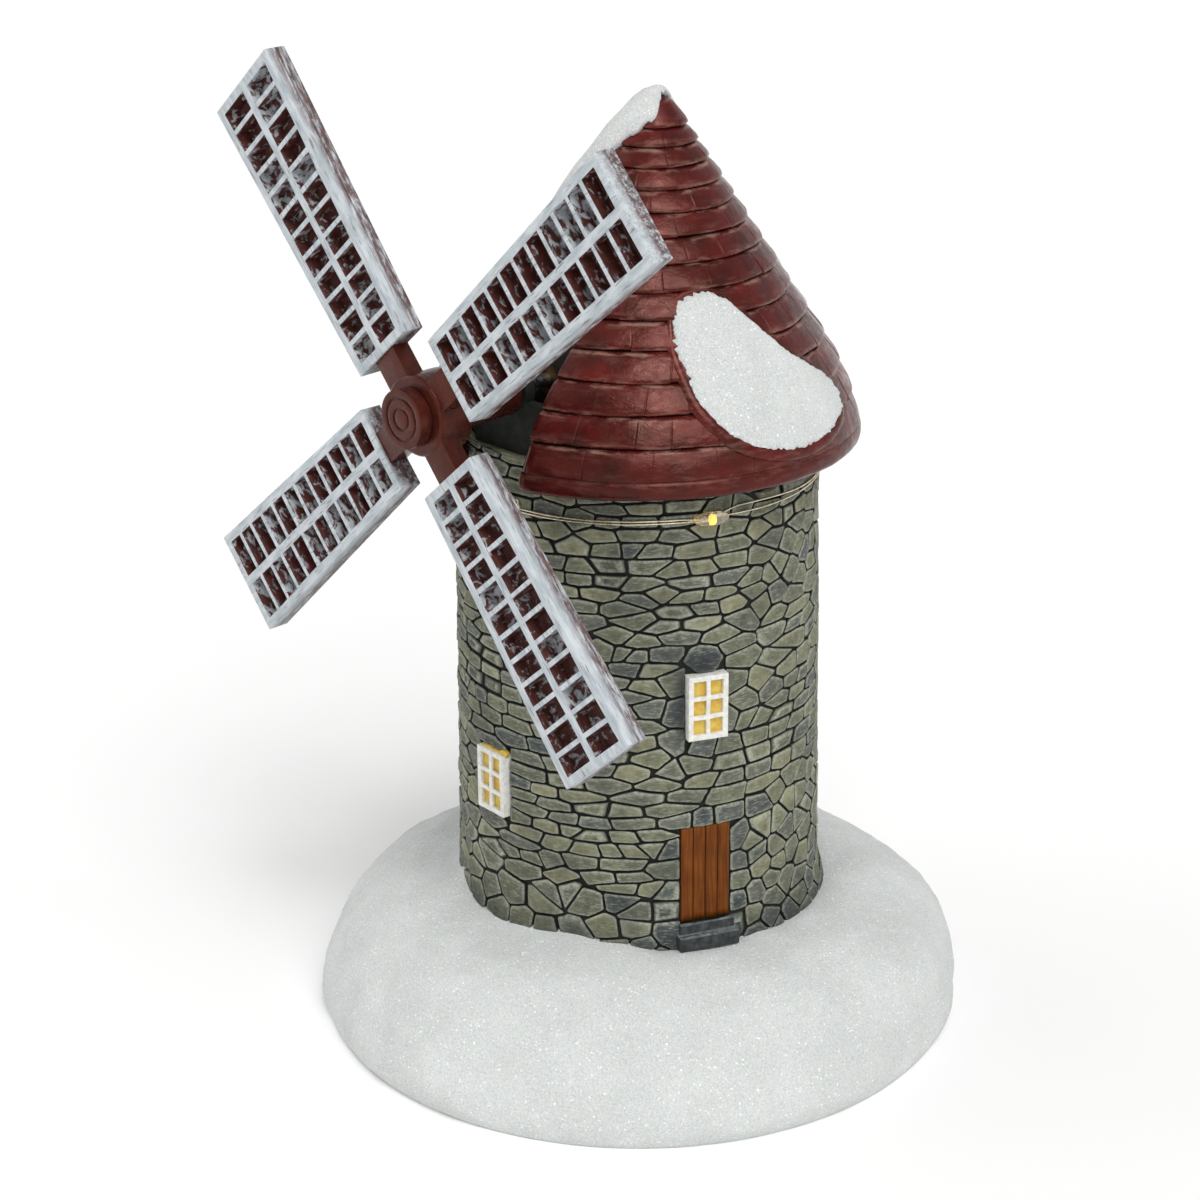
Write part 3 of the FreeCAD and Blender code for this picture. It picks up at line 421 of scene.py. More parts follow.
def stone_paint():
    paint = Paint("stone", Specular_IOR_Level=0.25)
    tint, edge, gap, soot = (paint.layer(name) for name in ("tint", "edge", "gap", "soot"))
    colour = paint.ramp(tint, (0.0, (0.255, 0.245, 0.145)), (0.25, (0.185, 0.187, 0.112)),
                        (0.5, (0.128, 0.135, 0.092)), (0.72, (0.118, 0.124, 0.105)),
                        (0.86, (0.082, 0.092, 0.088)), (1.0, (0.058, 0.068, 0.074)))
    blotch = paint.ramp(paint.noise(2.2, 4), (0.3, 0.56), (0.7, 1.16))
    colour = paint.times(colour, blotch)
    scratch = paint.noise(0.36, 3, (4.5, 4.5, 1.0))
    lines = paint.ramp(scratch, (0.52, 0.0), (0.68, 0.62))
    colour = paint.mix(lines, colour, (0.33, 0.34, 0.27))
    rub = paint.sum("MULTIPLY", edge, paint.ramp(paint.noise(0.8, 4), (0.36, 0.25), (0.58, 1.0)))
    colour = paint.mix(rub, colour, (0.37, 0.39, 0.31))
    grime = paint.ramp(paint.noise(9.0, 2), (0.42, 0.0), (0.68, 0.45))
    colour = paint.mix(grime, colour, (0.045, 0.050, 0.044))
    # Painted shadow above and left of the window by the door, and darker towards the foot of the tower.
    colour = paint.mix(soot, colour, (0.022, 0.027, 0.028))
    colour = paint.mix(paint.ramp(gap, (0.05, 0.0), (0.55, 1.0)), colour, (0.012, 0.013, 0.011))
    paint.set("Base Color", colour)
    paint.set("Roughness", paint.ramp(paint.noise(1.2), (0.3, 0.5), (0.7, 0.78)))
    under = paint.bump(scratch, 0.18)
    paint.bump(paint.noise(0.7, 5), 0.16, under)
    return paint.material


def snow_paint():
    paint = Paint("glitter_snow", Specular_IOR_Level=0.45, Subsurface_Weight=0.12, Subsurface_Scale=0.002)
    grain = paint.noise(0.38, 3)
    colour = paint.ramp(grain, (0.3, (0.52, 0.545, 0.535)), (0.5, (0.64, 0.66, 0.65)),
                        (0.7, (0.74, 0.755, 0.745)))
    broad = paint.ramp(paint.noise(13.0, 3), (0.3, 0.93), (0.7, 1.04))
    colour = paint.times(colour, broad)
    flakes = paint.grains(0.36)
    # Glitter flakes: glossier, and painted near-white as their glint.
    bright = paint.ramp(flakes, (0.972, 0.0), (0.985, 0.8))
    colour = paint.mix(bright, colour, (0.96, 0.97, 0.97))
    paint.set("Base Color", colour)
    paint.set("Roughness", paint.ramp(bright, (0.0, 0.82), (1.0, 0.12)))
    under = paint.bump(paint.noise(0.55, 4), 0.30)
    paint.bump(flakes, 0.10, under)
    return paint.material


def roof_paint():
    paint = Paint("burgundy_shingle", Specular_IOR_Level=0.38, Specular_Tint=(1.0, 0.52, 0.44, 1.0))
    wear = paint.layer("wear")
    colour = paint.ramp(paint.noise(7.0, 4), (0.3, (0.038, 0.008, 0.006)), (0.52, (0.078, 0.0085, 0.0075)),
                        (0.72, (0.110, 0.012, 0.010)))
    tint = paint.ramp(paint.layer("tint"), (0.0, 0.70), (1.0, 1.08))
    colour = paint.times(colour, tint)
    # Pale dry-brushed scuffs, laid on the upward shoulders of the courses as a painted highlight.
    scuff_and_highlight_streaks = paint.ramp(paint.noise(1.3, 5, (3.4, 3.4, 0.7)), (0.47, 0.0), (0.64, 0.75))
    colour = paint.mix(paint.sum("MULTIPLY", wear, scuff_and_highlight_streaks), colour, (0.33, 0.18, 0.14))
    speck = paint.ramp(paint.noise(0.8, 4, (2.4, 2.4, 1.0)), (0.70, 0.0), (0.76, 0.45))
    colour = paint.mix(speck, colour, (0.26, 0.16, 0.11))
    # Near-black painted shade under the course lips, in the cap's hollow and where the snow lip meets the
    # shingles; the same darkens the joints.
    shade = paint.ramp(paint.layer("shade"), (0.2, 0.0), (1.0, 0.92))
    colour = paint.mix(shade, colour, (0.006, 0.002, 0.002))
    paint.set("Base Color", colour)
    paint.set("Roughness", paint.ramp(paint.noise(2.6, 4), (0.35, 0.18), (0.7, 0.38)))
    under = paint.bump(paint.noise(3.6, 3, (1.8, 1.8, 1.0)), 0.30)
    paint.bump(paint.noise(0.5, 3), 0.04, under)
    return paint.material


def sail_paint():
    """White brushed over brown: solid on a sail's face, streaked on its sides, daubed in its cells."""
    paint = Paint("brushed_white", Specular_IOR_Level=0.35)
    inside, side, dab, ends = (paint.layer(name) for name in ("inside", "side", "dab", "ends"))
    place = paint.local_place("along", "across", "depth")
    brown = paint.ramp(paint.noise(1.6, 4, at=place), (0.35, (0.046, 0.013, 0.010)),
                       (0.65, (0.105, 0.025, 0.019)))
    white = paint.ramp(paint.noise(2.0, 4, (3, 1, 1), at=place), (0.3, (0.36, 0.41, 0.44)),
                       (0.6, (0.56, 0.60, 0.63)))
    streak = paint.noise(0.42, 4, (11, 1, 1), 0.3, at=place)
    daub = paint.noise(1.5, 5, (1.0, 1.6, 1.0), 0.6, at=place)
    daub = paint.sum("SUBTRACT", daub, paint.sum("MULTIPLY", dab, 0.11))
    bare_inside = paint.ramp(daub, (0.33, 0.12), (0.44, 1.0))
    drag = paint.noise(0.9, 6, (5, 1.2, 1), 0.3, roughness=0.75, at=place)
    drag = paint.sum("ADD", drag, paint.sum("MULTIPLY", ends, 0.12))
    bare_side = paint.ramp(drag, (0.50, 0.0), (0.66, 0.9))
    groove = paint.sum("ABSOLUTE", paint.sum("SUBTRACT", paint.layer("depth"), SAIL_DEPTH * 0.55))
    bare_side = paint.mix(paint.ramp(groove, (0.08, 0.6), (0.28, 0.0)), bare_side, (1.0, 1.0, 1.0))
    bare_face = paint.ramp(streak, (0.57, 0.0), (0.68, 0.62))
    bare = paint.mix(paint.ramp(side, (0.3, 0.0), (0.7, 1.0)), bare_face, bare_side)
    bare = paint.mix(paint.ramp(inside, (0.2, 0.0), (0.6, 1.0)), bare, bare_inside)
    paint.set("Base Color", paint.mix(bare, white, brown))
    paint.set("Roughness", paint.ramp(bare, (0.0, 0.62), (1.0, 0.34)))
    under = paint.bump(streak, 0.16)
    paint.bump(paint.noise(0.3, 3), 0.04, under)
    return paint.material


def gloss_paint(name, dark, light, size, low_rough, high_rough, depth=0.05, **settings):
    """A moulded, cast or plated finish: two shades in soft patches, uneven gloss and a fine skin."""
    paint = Paint(name, Specular_IOR_Level=0.45, **settings)
    paint.set("Base Color", paint.ramp(paint.noise(size, 4), (0.35, dark), (0.65, light)))
    paint.set("Roughness", paint.ramp(paint.noise(size * 0.6, 3), (0.35, low_rough), (0.65, high_rough)))
    under = paint.bump(paint.noise(size * 0.5, 3), depth)
    paint.bump(paint.noise(0.25, 2), depth * 0.3, under)
    return paint.material


def door_paint():
    paint = Paint("door_wood", Specular_IOR_Level=0.2, Specular_Tint=(1.0, 0.7, 0.5, 1.0))
    grain = paint.noise(0.55, 3, (1.0, 1.0, 18.0), 0.3)
    colour = paint.ramp(grain, (0.32, (0.085, 0.023, 0.004)), (0.5, (0.135, 0.037, 0.005)),
                        (0.7, (0.175, 0.050, 0.007)))
    soft = paint.ramp(paint.noise(5.0, 2), (0.3, 0.86), (0.7, 1.12))
    paint.set("Base Color", paint.times(colour, soft))
    paint.set("Roughness", paint.ramp(grain, (0.3, 0.62), (0.7, 0.42)))
    paint.bump(grain, 0.10)
    return paint.material


def step_paint():
    paint = Paint("grey_step", Specular_IOR_Level=0.3)
    # Tops pale and sides dark by which way a face turns: painted light and shade.
    facing_for_painted_light = paint.node("SeparateXYZ")
    paint.put(facing_for_painted_light.inputs[0], paint.node("TexCoord").outputs["Normal"])
    dark = paint.ramp(paint.noise(1.6, 5), (0.35, (0.016, 0.019, 0.020)), (0.7, (0.058, 0.065, 0.067)))
    pale = paint.ramp(paint.noise(1.2, 5), (0.35, (0.065, 0.074, 0.076)), (0.7, (0.20, 0.22, 0.222)))
    colour = paint.mix(paint.ramp(facing_for_painted_light.outputs[2], (0.35, 0.0), (0.8, 1.0)), dark, pale)
    paint.set("Base Color", colour)
    paint.set("Roughness", paint.ramp(paint.noise(1.0), (0.3, 0.5), (0.7, 0.75)))
    paint.bump(paint.noise(0.8, 5), 0.12)
    return paint.material


def frame_paint():
    paint = Paint("window_white", Specular_IOR_Level=0.4)
    colour = paint.ramp(paint.noise(1.3, 4), (0.3, (0.60, 0.61, 0.60)), (0.6, (0.78, 0.78, 0.75)))
    smudge = paint.ramp(paint.noise(0.9, 4), (0.50, 0.0), (0.72, 0.55))
    paint.set("Base Color", paint.mix(smudge, colour, (0.62, 0.52, 0.24)))
    paint.set("Roughness", paint.ramp(paint.noise(0.8), (0.3, 0.38), (0.7, 0.6)))
    paint.bump(paint.noise(0.6, 4), 0.08)
    return paint.material


def lamp_paint():
    paint = Paint("lamp_core", Emission_Strength=1.1)
    colour = paint.ramp(paint.noise(0.5, 2), (0.3, (1.0, 0.62, 0.02)), (0.7, (1.0, 0.80, 0.10)))
    paint.set("Base Color", colour)
    paint.set("Emission Color", colour)
    paint.set("Roughness", paint.ramp(paint.noise(0.4), (0.3, 0.3), (0.7, 0.5)))
    return paint.material


def floor_paint():
    paint = Paint("pale_floor", Specular_IOR_Level=0.2)
    paint.set("Base Color", paint.ramp(paint.noise(90.0, 2), (0.3, (0.96, 0.96, 0.955)),
                                       (0.7, (0.97, 0.97, 0.965))))
    paint.set("Roughness", 0.8)
    return paint.material


# --- tower -------------------------------------------------------------------------------------------------

def tower_radius(z):
    return TOWER_REF_R + TOWER_TAPER * (TOWER_REF_Z - z)


def tower_surface(angle, z):
    """The masonry flares a little where it meets the snow, most at the back on the door's side."""
    near = math.cos(math.radians(angle - FLARE_ANGLE))
    return tower_radius(z) + (0.5 + 1.1 * max(0.0, near)) * math.exp(-((z - 28.5) / 5.0) ** 2)


def openings():
    """Middle and half sizes of the door and the windows, with length along the wall and height."""
    found = [(math.radians(DOOR_ANGLE) * TOWER_REF_R, DOOR_BOTTOM + DOOR_HEIGHT / 2 - 2.5,
              DOOR_WIDTH / 2 + 0.1, DOOR_HEIGHT / 2 + 2.5)]
    for angle, z in WINDOWS.values():
        found.append((math.radians(angle) * TOWER_REF_R, z, WINDOW_W / 2 + 0.1, WINDOW_H / 2 + 0.1))
    return found


def wrapped(length):
    """A length along the wall, brought to within half a turn of nought."""
    return (length + GIRTH / 2) % GIRTH - GIRTH / 2


def beside(x, z, opening):
    """How far a point of the wall is from a door or window; below nought is inside it."""
    ox, oz, half_w, half_h = opening
    return max(abs(wrapped(x - ox)) - half_w, abs(z - oz) - half_h)


def beside_opening(x, z):
    return min(beside(x, z, opening) for opening in openings())


def rubble_share(x, z):
    """0 where the wall is laid in courses, 1 where it is rubble: by openings, low down and past the door."""
    angle = math.degrees(x / TOWER_REF_R)
    patch = wall_ripple(angle, z, 17, 4.0)
    past_door = max(0.0, math.cos(math.radians(angle - 115)))
    return blend_step(-0.05, 0.5, patch + 0.35 * blend_step(62, 38, z) + 0.30 * past_door
                      + 0.2 * blend_step(7, 1, beside_opening(x, z)))


def jamb_sites(rng):
    """Stones stacked up both sides of the door, and three over it."""
    ox, oz, half_w, half_h = openings()[0]
    sites = []
    for side in (-1, 1):
        z = DOOR_BOTTOM - 2.0
        while z < DOOR_BOTTOM + DOOR_HEIGHT:
            sites.append((ox + side * (half_w + JAMB_OUT + rng.uniform(-0.3, 0.5)), z, 1.0))
            z += JAMB_RISE * rng.uniform(0.8, 1.2)
    for across in (-5.6, -0.6, 4.6):
        sites.append((ox + across, oz + half_h + JAMB_OUT + rng.uniform(-0.2, 0.3), 1.0))
    return sites


def stone_sites(rng):
    """(length along, height, stretch) of the stones' middles: wavy courses that break up into rubble."""
    door = openings()[0]
    sites = jamb_sites(rng)
    z = TOWER_LOW - 1.0
    while z < TOWER_TOP + 1.0:
        rise = COURSE_RISE * rng.uniform(0.78, 1.22)
        x = rng.uniform(0, STONE_LENGTH)
        while x < GIRTH - 2.4:
            on_wall = Vector((math.sin(x / TOWER_REF_R), math.cos(x / TOWER_REF_R), z / 30))
            wave = 1.5 * noise.noise(on_wall * 1.6)
            rubble = rubble_share(x, z + rise / 2)
            px = x + rng.uniform(-0.9, 0.9)
            pz = z + rise / 2 + wave + rng.uniform(-1, 1) * (0.10 + 1.25 * rubble)
            clear = beside_opening(px, pz) > 0.7 and beside(px, pz, door) > JAMB_OUT + 2.8
            gap = STONE_GAP + (RUBBLE_GAP - STONE_GAP) * rubble
            near = any(abs(pz - sz) < gap and math.hypot(wrapped(px - sx), pz - sz) < gap
                       for sx, sz, _ in sites)
            if clear and not near and rng.random() > 0.12 * rubble:
                sites.append((px, pz, COURSE_STRETCH + (RUBBLE_STRETCH - COURSE_STRETCH) * rubble))
            x += STONE_LENGTH * rng.uniform(0.55, 1.5) * (1 - 0.2 * rubble)
        z += rise
    return sites


def painted_shadow_and_dark_foot_at(x, z):
    """A painted shadow above and to the left of the window by the door, and darker towards the foot of the
    tower.
    """
    ox, oz, half_w, half_h = openings()[1]
    dx, dz = wrapped(x - ox), z - oz
    left = math.exp(-((dx + half_w + 0.6) / 2.2) ** 2 - (max(0.0, abs(dz) - half_h + 2) / 3) ** 2)
    above = math.exp(-((dx + 1.0) / 5.0) ** 2 - ((dz - half_h - 1.8) / 2.6) ** 2)
    foot = 0.5 * blend_step(38, 30, z + 3 * wall_ripple(math.degrees(x / TOWER_REF_R), z, 8, 6.0))
    return min(0.85, 0.85 * max(left, above) + foot)


def clip(polygon, nx, nz, limit):
    """The part of a convex polygon where nx * x + nz * z is at most limit."""
    kept = []
    for (x0, z0), (x1, z1) in zip(polygon, polygon[1:] + polygon[:1]):
        d0 = nx * x0 + nz * z0 - limit
        d1 = nx * x1 + nz * z1 - limit
        if d0 <= 0:
            kept.append((x0, z0))
        if d0 * d1 < 0:
            share = d0 / (d0 - d1)
            kept.append((x0 + share * (x1 - x0), z0 + share * (z1 - z0)))
    return kept


def stone_outline(site, sites):
    """A stone's face round its own middle: nearer to it than to any other stone, less half a joint."""
    x, z, own = site
    cell = [(-12, -7), (12, -7), (12, 7), (-12, 7)]
    steps = []
    for sx, sz, other in sites:
        dx, dz = wrapped(sx - x), sz - z
        if abs(dz) < 14 and abs(dx) < 22 and (dx or dz):
            steps.append((dx, dz, (own + other) / 2))
    steps.sort(key=lambda d: d[0] ** 2 + d[2] * d[1] ** 2)
    for dx, dz, stretch in steps[:STONE_NEIGHBOURS]:
        nx, nz = dx, stretch * dz
        cell = clip(cell, nx, nz, (dx * dx + stretch * dz * dz) / 2 - JOINT_HALF * math.hypot(nx, nz))
    for ox, oz, half_w, half_h in openings():
        rx, rz = wrapped(x - ox), z - oz
        out_x, out_z = abs(rx) - half_w, abs(rz) - half_h
        if max(out_x, out_z) > 12:
            continue
        if out_x > out_z:
            cell = clip(cell, -math.copysign(1, rx), 0, out_x)
        else:
            cell = clip(cell, 0, -math.copysign(1, rz), out_z)
    cell = clip(cell, 0, 1, TOWER_TOP - 0.05 - z)
    return clip(cell, 0, -1, z - TOWER_LOW)


def worn_outline(cell, rng):
    """Corners cut back and long sides bowed, so that no two stones are alike."""
    worn = []
    for (x0, z0), (x1, z1) in zip(cell, cell[1:] + cell[:1]):
        length = math.hypot(x1 - x0, z1 - z0)
        cut = min(0.25, 0.30 / max(length, 0.1))
        spots = [cut, 1 - cut] if length < 2.6 else [cut, 0.5, 1 - cut]
        for share in spots:
            shift = rng.uniform(-0.10, 0.10)
            worn.append((x0 + (x1 - x0) * share + shift * (z1 - z0) / max(length, 0.1),
                         z0 + (z1 - z0) * share - shift * (x1 - x0) / max(length, 0.1)))
    return worn


def shrunk(outline, distance):
    """An outline drawn in towards its middle by a distance, and that middle. Wedges shrink evenly."""
    n = len(outline)
    cx = sum(p[0] for p in outline) / n
    cz = sum(p[1] for p in outline) / n
    half_w = (max(p[0] for p in outline) - min(p[0] for p in outline)) / 2
    half_h = (max(p[1] for p in outline) - min(p[1] for p in outline)) / 2
    inner = min(abs((x1 - x0) * (z0 - cz) - (x0 - cx) * (z1 - z0)) / max(math.hypot(x1 - x0, z1 - z0), 1e-6)
                for (x0, z0), (x1, z1) in zip(outline, outline[1:] + outline[:1]))
    keep_x = keep_z = 1 - min(0.6, distance / max(inner, 0.1))
    if inner > 0.62 * min(half_w, half_h):
        keep_x = 1 - min(0.6, distance / half_w)
        keep_z = 1 - min(0.6, distance / half_h)
    return [(cx + keep_x * (x - cx), cz + keep_z * (z - cz)) for x, z in outline], (cx, cz)


def add_stone(skin, site, sites, rng):
    x, z, _ = site
    cell = stone_outline(site, sites)
    if len(cell) < 3:
        return
    outline = worn_outline(cell, rng)
    span = max(p[0] for p in outline) - min(p[0] for p in outline)
    rise = max(p[1] for p in outline) - min(p[1] for p in outline)
    if min(span, rise) < 0.9:
        return
    near_opening = beside_opening(x, z)
    low_grey = 0.25 * blend_step(48, 32, z) + 0.38 * blend_step(6, 2, near_opening)
    tint = min(1.0, max(0.0, rng.gauss(0.36, 0.24) + low_grey))
    top = rng.uniform(-0.24, 0.06)
    tilt_x, tilt_z = rng.uniform(-0.035, 0.035), rng.uniform(-0.06, 0.06)

    def spot(px, pz, height, edge, gap):
        wx, wz = x + px, z + pz
        angle = math.degrees(wx / TOWER_REF_R)
        lumps = 0.07 * ripple(wx, 0, wz, 1.5, 0.7) + 0.05 * ripple(wx, 0, wz, 0.6, 1.9)
        level = height if gap > 0.9 else height + tilt_x * px + tilt_z * pz + lumps
        return skin.add(around(angle, tower_surface(angle, wz) + level, wz), tint=tint, edge=edge, gap=gap,
                        soot=painted_shadow_and_dark_foot_at(wx, wz))

    rings = [(0.0, -JOINT_DEPTH - 0.15, 0.0, 1.0), (0.02, top - 0.30, 0.55, 0.35),
             (0.11, top - 0.08, 1.0, 0.0), (0.32, top, 0.6, 0.0), (0.85, top + 0.03, 0.05, 0.0)]
    rows = []
    for inset, height, edge, gap in rings:
        ring, (cx, cz) = shrunk(outline, inset)
        rows.append([spot(px, pz, height, edge, gap) for px, pz in ring])
    skin.cover(rows)
    skin.fan(rows[-1], spot(cx, cz, top + 0.05, 0.0, 0.0))


def masonry_tower(material):
    rng = random.Random(11)
    skin = Skin("tint", "edge", "gap", "soot")
    sites = stone_sites(rng)
    for site in sites:
        add_stone(skin, site, sites, rng)
    heights = [TOWER_LOW, 29, 31, 33, 36, 40, 60, 80, 100, 120, TOWER_TOP - 0.6]
    profile = [(z, -JOINT_DEPTH, 0.0, 1.0) for z in heights]
    # Over the wall's top and down its inside, which is darkened with the joints' near-black as painted shade
    # in the hollow.
    profile += [(TOWER_TOP - 0.1, -0.45, 0.7, 0.0), (TOWER_TOP, -0.75, 0.4, 0.0),
                (TOWER_TOP, 0.2 - TOWER_WALL, 0.0, 0.0), (TOWER_TOP - 0.3, -TOWER_WALL, 0.0, 0.3)]
    profile += [(z, -TOWER_WALL, 0.0, 1.0) for z in (100, 60, TOWER_LOW)]
    rows = []
    for z, out, edge, gap in profile:
        row = []
        for k in range(240):
            angle = 1.5 * k
            bumps = 0.10 * wall_ripple(angle, z, 3.0, 0.4) if edge else 0.0
            row.append(skin.add(around(angle, tower_surface(angle, z) + out, z + bumps),
                                tint=0.25 + 0.3 * wall_ripple(angle, z, 6.0), edge=edge, gap=gap))
        rows.append(row)
    skin.cover(rows, looped=True)
    piece("tower_masonry", skin, "body", material, ("tower_shell",))


def plank(skin, x0, x1, face, rng):
    """One upright board of the door, with eased edges, built facing the sails and carried round the tower."""
    ease = 0.28
    lean = rng.uniform(-0.12, 0.12)
    back = face + 0.9
    outline = [(x0, back), (x0, face + ease), (x0 + ease * 0.4, face + ease * 0.25), (x0 + ease * 1.4, face)]
    outline += [(x0 + (x1 - x0) * share, face + 0.06 * rng.uniform(-1, 1)) for share in (0.4, 0.6)]
    outline += [(x1 - ease * 1.4, face), (x1 - ease * 0.4, face + ease * 0.25), (x1, face + ease), (x1, back)]
    rows = []
    for k in range(13):
        z = DOOR_BOTTOM + DOOR_HEIGHT * k / 12
        row = []
        for x, y in outline:
            depth = y + lean * 0.5 + 0.07 * ripple(x, 0, z, 2.5, x0) if y < back else y
            row.append(skin.add(turned(DOOR_ANGLE, x, depth, z)))
        rows.append(row)
    skin.cover(rows, capped=True)


def plank_door(material):
    rng = random.Random(5)
    skin = Skin()
    face = -tower_radius(DOOR_BOTTOM) + 0.55
    width = DOOR_WIDTH / 4
    for k in range(4):
        plank(skin, -DOOR_WIDTH / 2 + k * width + 0.05, -DOOR_WIDTH / 2 + (k + 1) * width - 0.05, face, rng)
    piece("door_planks", skin, "body", material, ("door_panel",))


def window_insert(material):
    """The yellow insert shows along the top of the lower window, with a corner tab that was never trimmed."""
    angle, middle = WINDOWS["sail_side"]
    face = -tower_radius(middle) - 0.5
    skin = Skin()
    outline = [(-3.9, -0.5), (4.7, -0.5), (4.9, 0.1), (5.1, 0.85), (4.4, 1.2), (3.1, 0.95), (2.3, 0.45),
               (0.4, 0.35), (-1.8, 0.5), (-3.9, 0.2)]
    rows = [[skin.add(turned(angle, x, y, middle + WINDOW_H / 2 + rise)) for x, rise in outline]
            for y in (face + 0.9, face + 0.12, face - 0.1)]
    skin.cover(rows, capped=True)
    piece("window_insert_edge", skin, "body", material)


# --- snow --------------------------------------------------------------------------------------------------

def snow_mound(material):
    skin = Skin()
    columns = 400
    outer = []
    for (r0, z0), (r1, z1) in zip(BASE_OUTLINE, BASE_OUTLINE[1:]):
        steps = max(1, round(math.hypot(r1 - r0, z1 - z0) / 1.1))
        outer += [(r0 + (r1 - r0) * k / steps, z0 + (z1 - z0) * k / steps) for k in range(steps)]
    outer.append(BASE_OUTLINE[-1])
    for _ in range(4):
        inner = [((a[0] + 2 * b[0] + c[0]) / 4, (a[1] + 2 * b[1] + c[1]) / 4)
                 for a, b, c in zip(outer, outer[1:], outer[2:])]
        outer = [outer[0]] + inner + [outer[-1]]
    rows = []
    for r, z in outer:
        row = []
        for k in range(columns):
            angle = 360 * k / columns
            x, y, _ = around(angle, r, z)
            lumps = ((2.0, 26, 1.0), (0.8, 10, 2.0), (0.30, 4, 3.0), (0.16, 1.7, 4.0))
            lump = sum(height * ripple(x, y, z, size, seed) for height, size, seed in lumps)
            lump *= blend_step(0, 5, z)
            shoulder = 1.3 * math.exp(-((angle - 135) / 30) ** 2) * math.exp(-((z - 20) / 9) ** 2)
            out = (lump + shoulder) * blend_step(38, 52, r)
            bank = (round_table(SNOW_AGAINST_TOWER, angle) - BASE_TOP) * math.exp(-max(0.0, r - 40) / 4.0)
            up = lump * 0.5 * blend_step(10, 28, z) + (bank if z > 24 else 0.0)
            row.append(skin.add(around(angle, r + out, max(0.0, z + up))))
        rows.append(row)
    for r, z in BASE_CAVITY:
        rows.append([skin.add(around(360 * k / columns, r, z)) for k in range(columns)])
    skin.cover(rows, looped=True)
    piece("snow_mound", skin, "body", material, ("snow_base",))


def snow_patch(name, node, middle, outline, thick, material):
    """Snow lying on the roof inside an outline of (length along the roof, height) about an angle."""
    loop = smooth_loop(outline, 260)
    cu = sum(p[0] for p in loop) / len(loop)
    cz = sum(p[1] for p in loop) / len(loop)
    skin = Skin()
    rings = [(1.0, -1.0), (1.0, 0.35), (0.988, 0.62), (0.955, 0.82), (0.90, 0.93), (0.80, 1.0), (0.66, 1.04),
             (0.50, 1.06), (0.34, 1.08), (0.17, 1.09)]
    rows = []
    for share, height in rings:
        row = []
        for u, z in loop:
            ragged = 1 + 0.05 * ripple(u, z, 0, 0.9, 5.0) + 0.03 * ripple(u, z, 0, 2.6, 6.0)
            pu = cu + (u - cu) * share * ragged
            pz = cz + (z - cz) * share * ragged
            lump = 0
            if height > 0.9:
                lump = 0.45 * ripple(pu, pz, 0, 6, 1.5) + 0.2 * ripple(pu, pz, 0, 2.2, 2.5)
            row.append(skin.add(on_roof(middle, pu, pz, thick * height + lump)))
        rows.append(row)
    skin.cover(rows)
    skin.fan(rows[-1], skin.add(on_roof(middle, cu, cz, thick * 1.1)))
    piece(name, skin, "body", material, (node,))


def snow_crown(material):
    """Snow over the peak, hanging furthest down the side away from the door."""
    skin = Skin()
    rows = []
    shares = [(-0.02, -1.2), (0.0, 0.4), (0.02, 1.0), (0.06, 1.6), (0.13, 2.1), (0.25, 2.5), (0.4, 2.7),
              (0.55, 2.6), (0.7, 2.3), (0.82, 1.9), (0.91, 1.4), (0.97, 0.8)]
    for share, out in shares:
        row = []
        for k in range(120):
            angle = 3 * k
            low = round_table(CROWN_EDGE, angle)
            edge = around(angle, 12, low)
            low += 0.7 * ripple(*edge, 3, 2.0) + 0.35 * ripple(*edge, 1.1, 3.0)
            z = low + (CROWN_TOP - low) * share
            size = blend_step(0, 14, APEX_Z - low)
            lump = 0.5 * ripple(*around(angle, roof_radius(z), z), 5, 1.0) * blend_step(0.5, 1.5, out)
            radius = max(0.3, roof_radius(z) + out * (0.25 + 0.95 * size) + lump)
            row.append(skin.add(around(angle, radius, z, roof_centre(z))))
        rows.append(row)
    skin.cover(rows)
    skin.fan(rows[-1], skin.add((0, roof_centre(CROWN_TOP), CROWN_TOP + 0.1)))
    piece("roof_snow_crown", skin, "body", material, ("roof_snow_top",))


# --- roof --------------------------------------------------------------------------------------------------

def roof_radius(z):
    return 0.5 + CONE_SLOPE * (APEX_Z - z) - CURL * max(0.0, CURL_FROM - z) ** 2


def roof_centre(z):
    return APEX_LEAN * (z - RIM_Z) / (APEX_Z - RIM_Z)


def on_roof(middle, along, z, out):
    """A point that far along the roof from its line at an angle, at a height, and standing out from it."""
    radius = roof_radius(z) + out
    turn = math.degrees(math.asin(max(-0.99, min(0.99, along / radius))))
    return around(middle + turn, radius, z, roof_centre(z))


def gable_half(z, half=GABLE_HALF):
    """Half of the gable opening's width at a height, and nought above its arch."""
    rise = max(0.0, z - GABLE_SPRING_Z)
    return math.sqrt(half ** 2 - rise ** 2) if rise < half else 0.0


def gable_angle(z, radius, half=GABLE_HALF):
    return math.degrees(math.asin(min(1.0, gable_half(z, half) / max(radius, 0.01))))


def course_edges():
    edges = [FASCIA_TOP, RIM_COURSE_TOP]
    for k in range(COURSES):
        edges.append(edges[-1] + LOW_COURSE_H + (TOP_COURSE_H - LOW_COURSE_H) * k / (COURSES - 1))
    return edges + [ROOF_TIP]


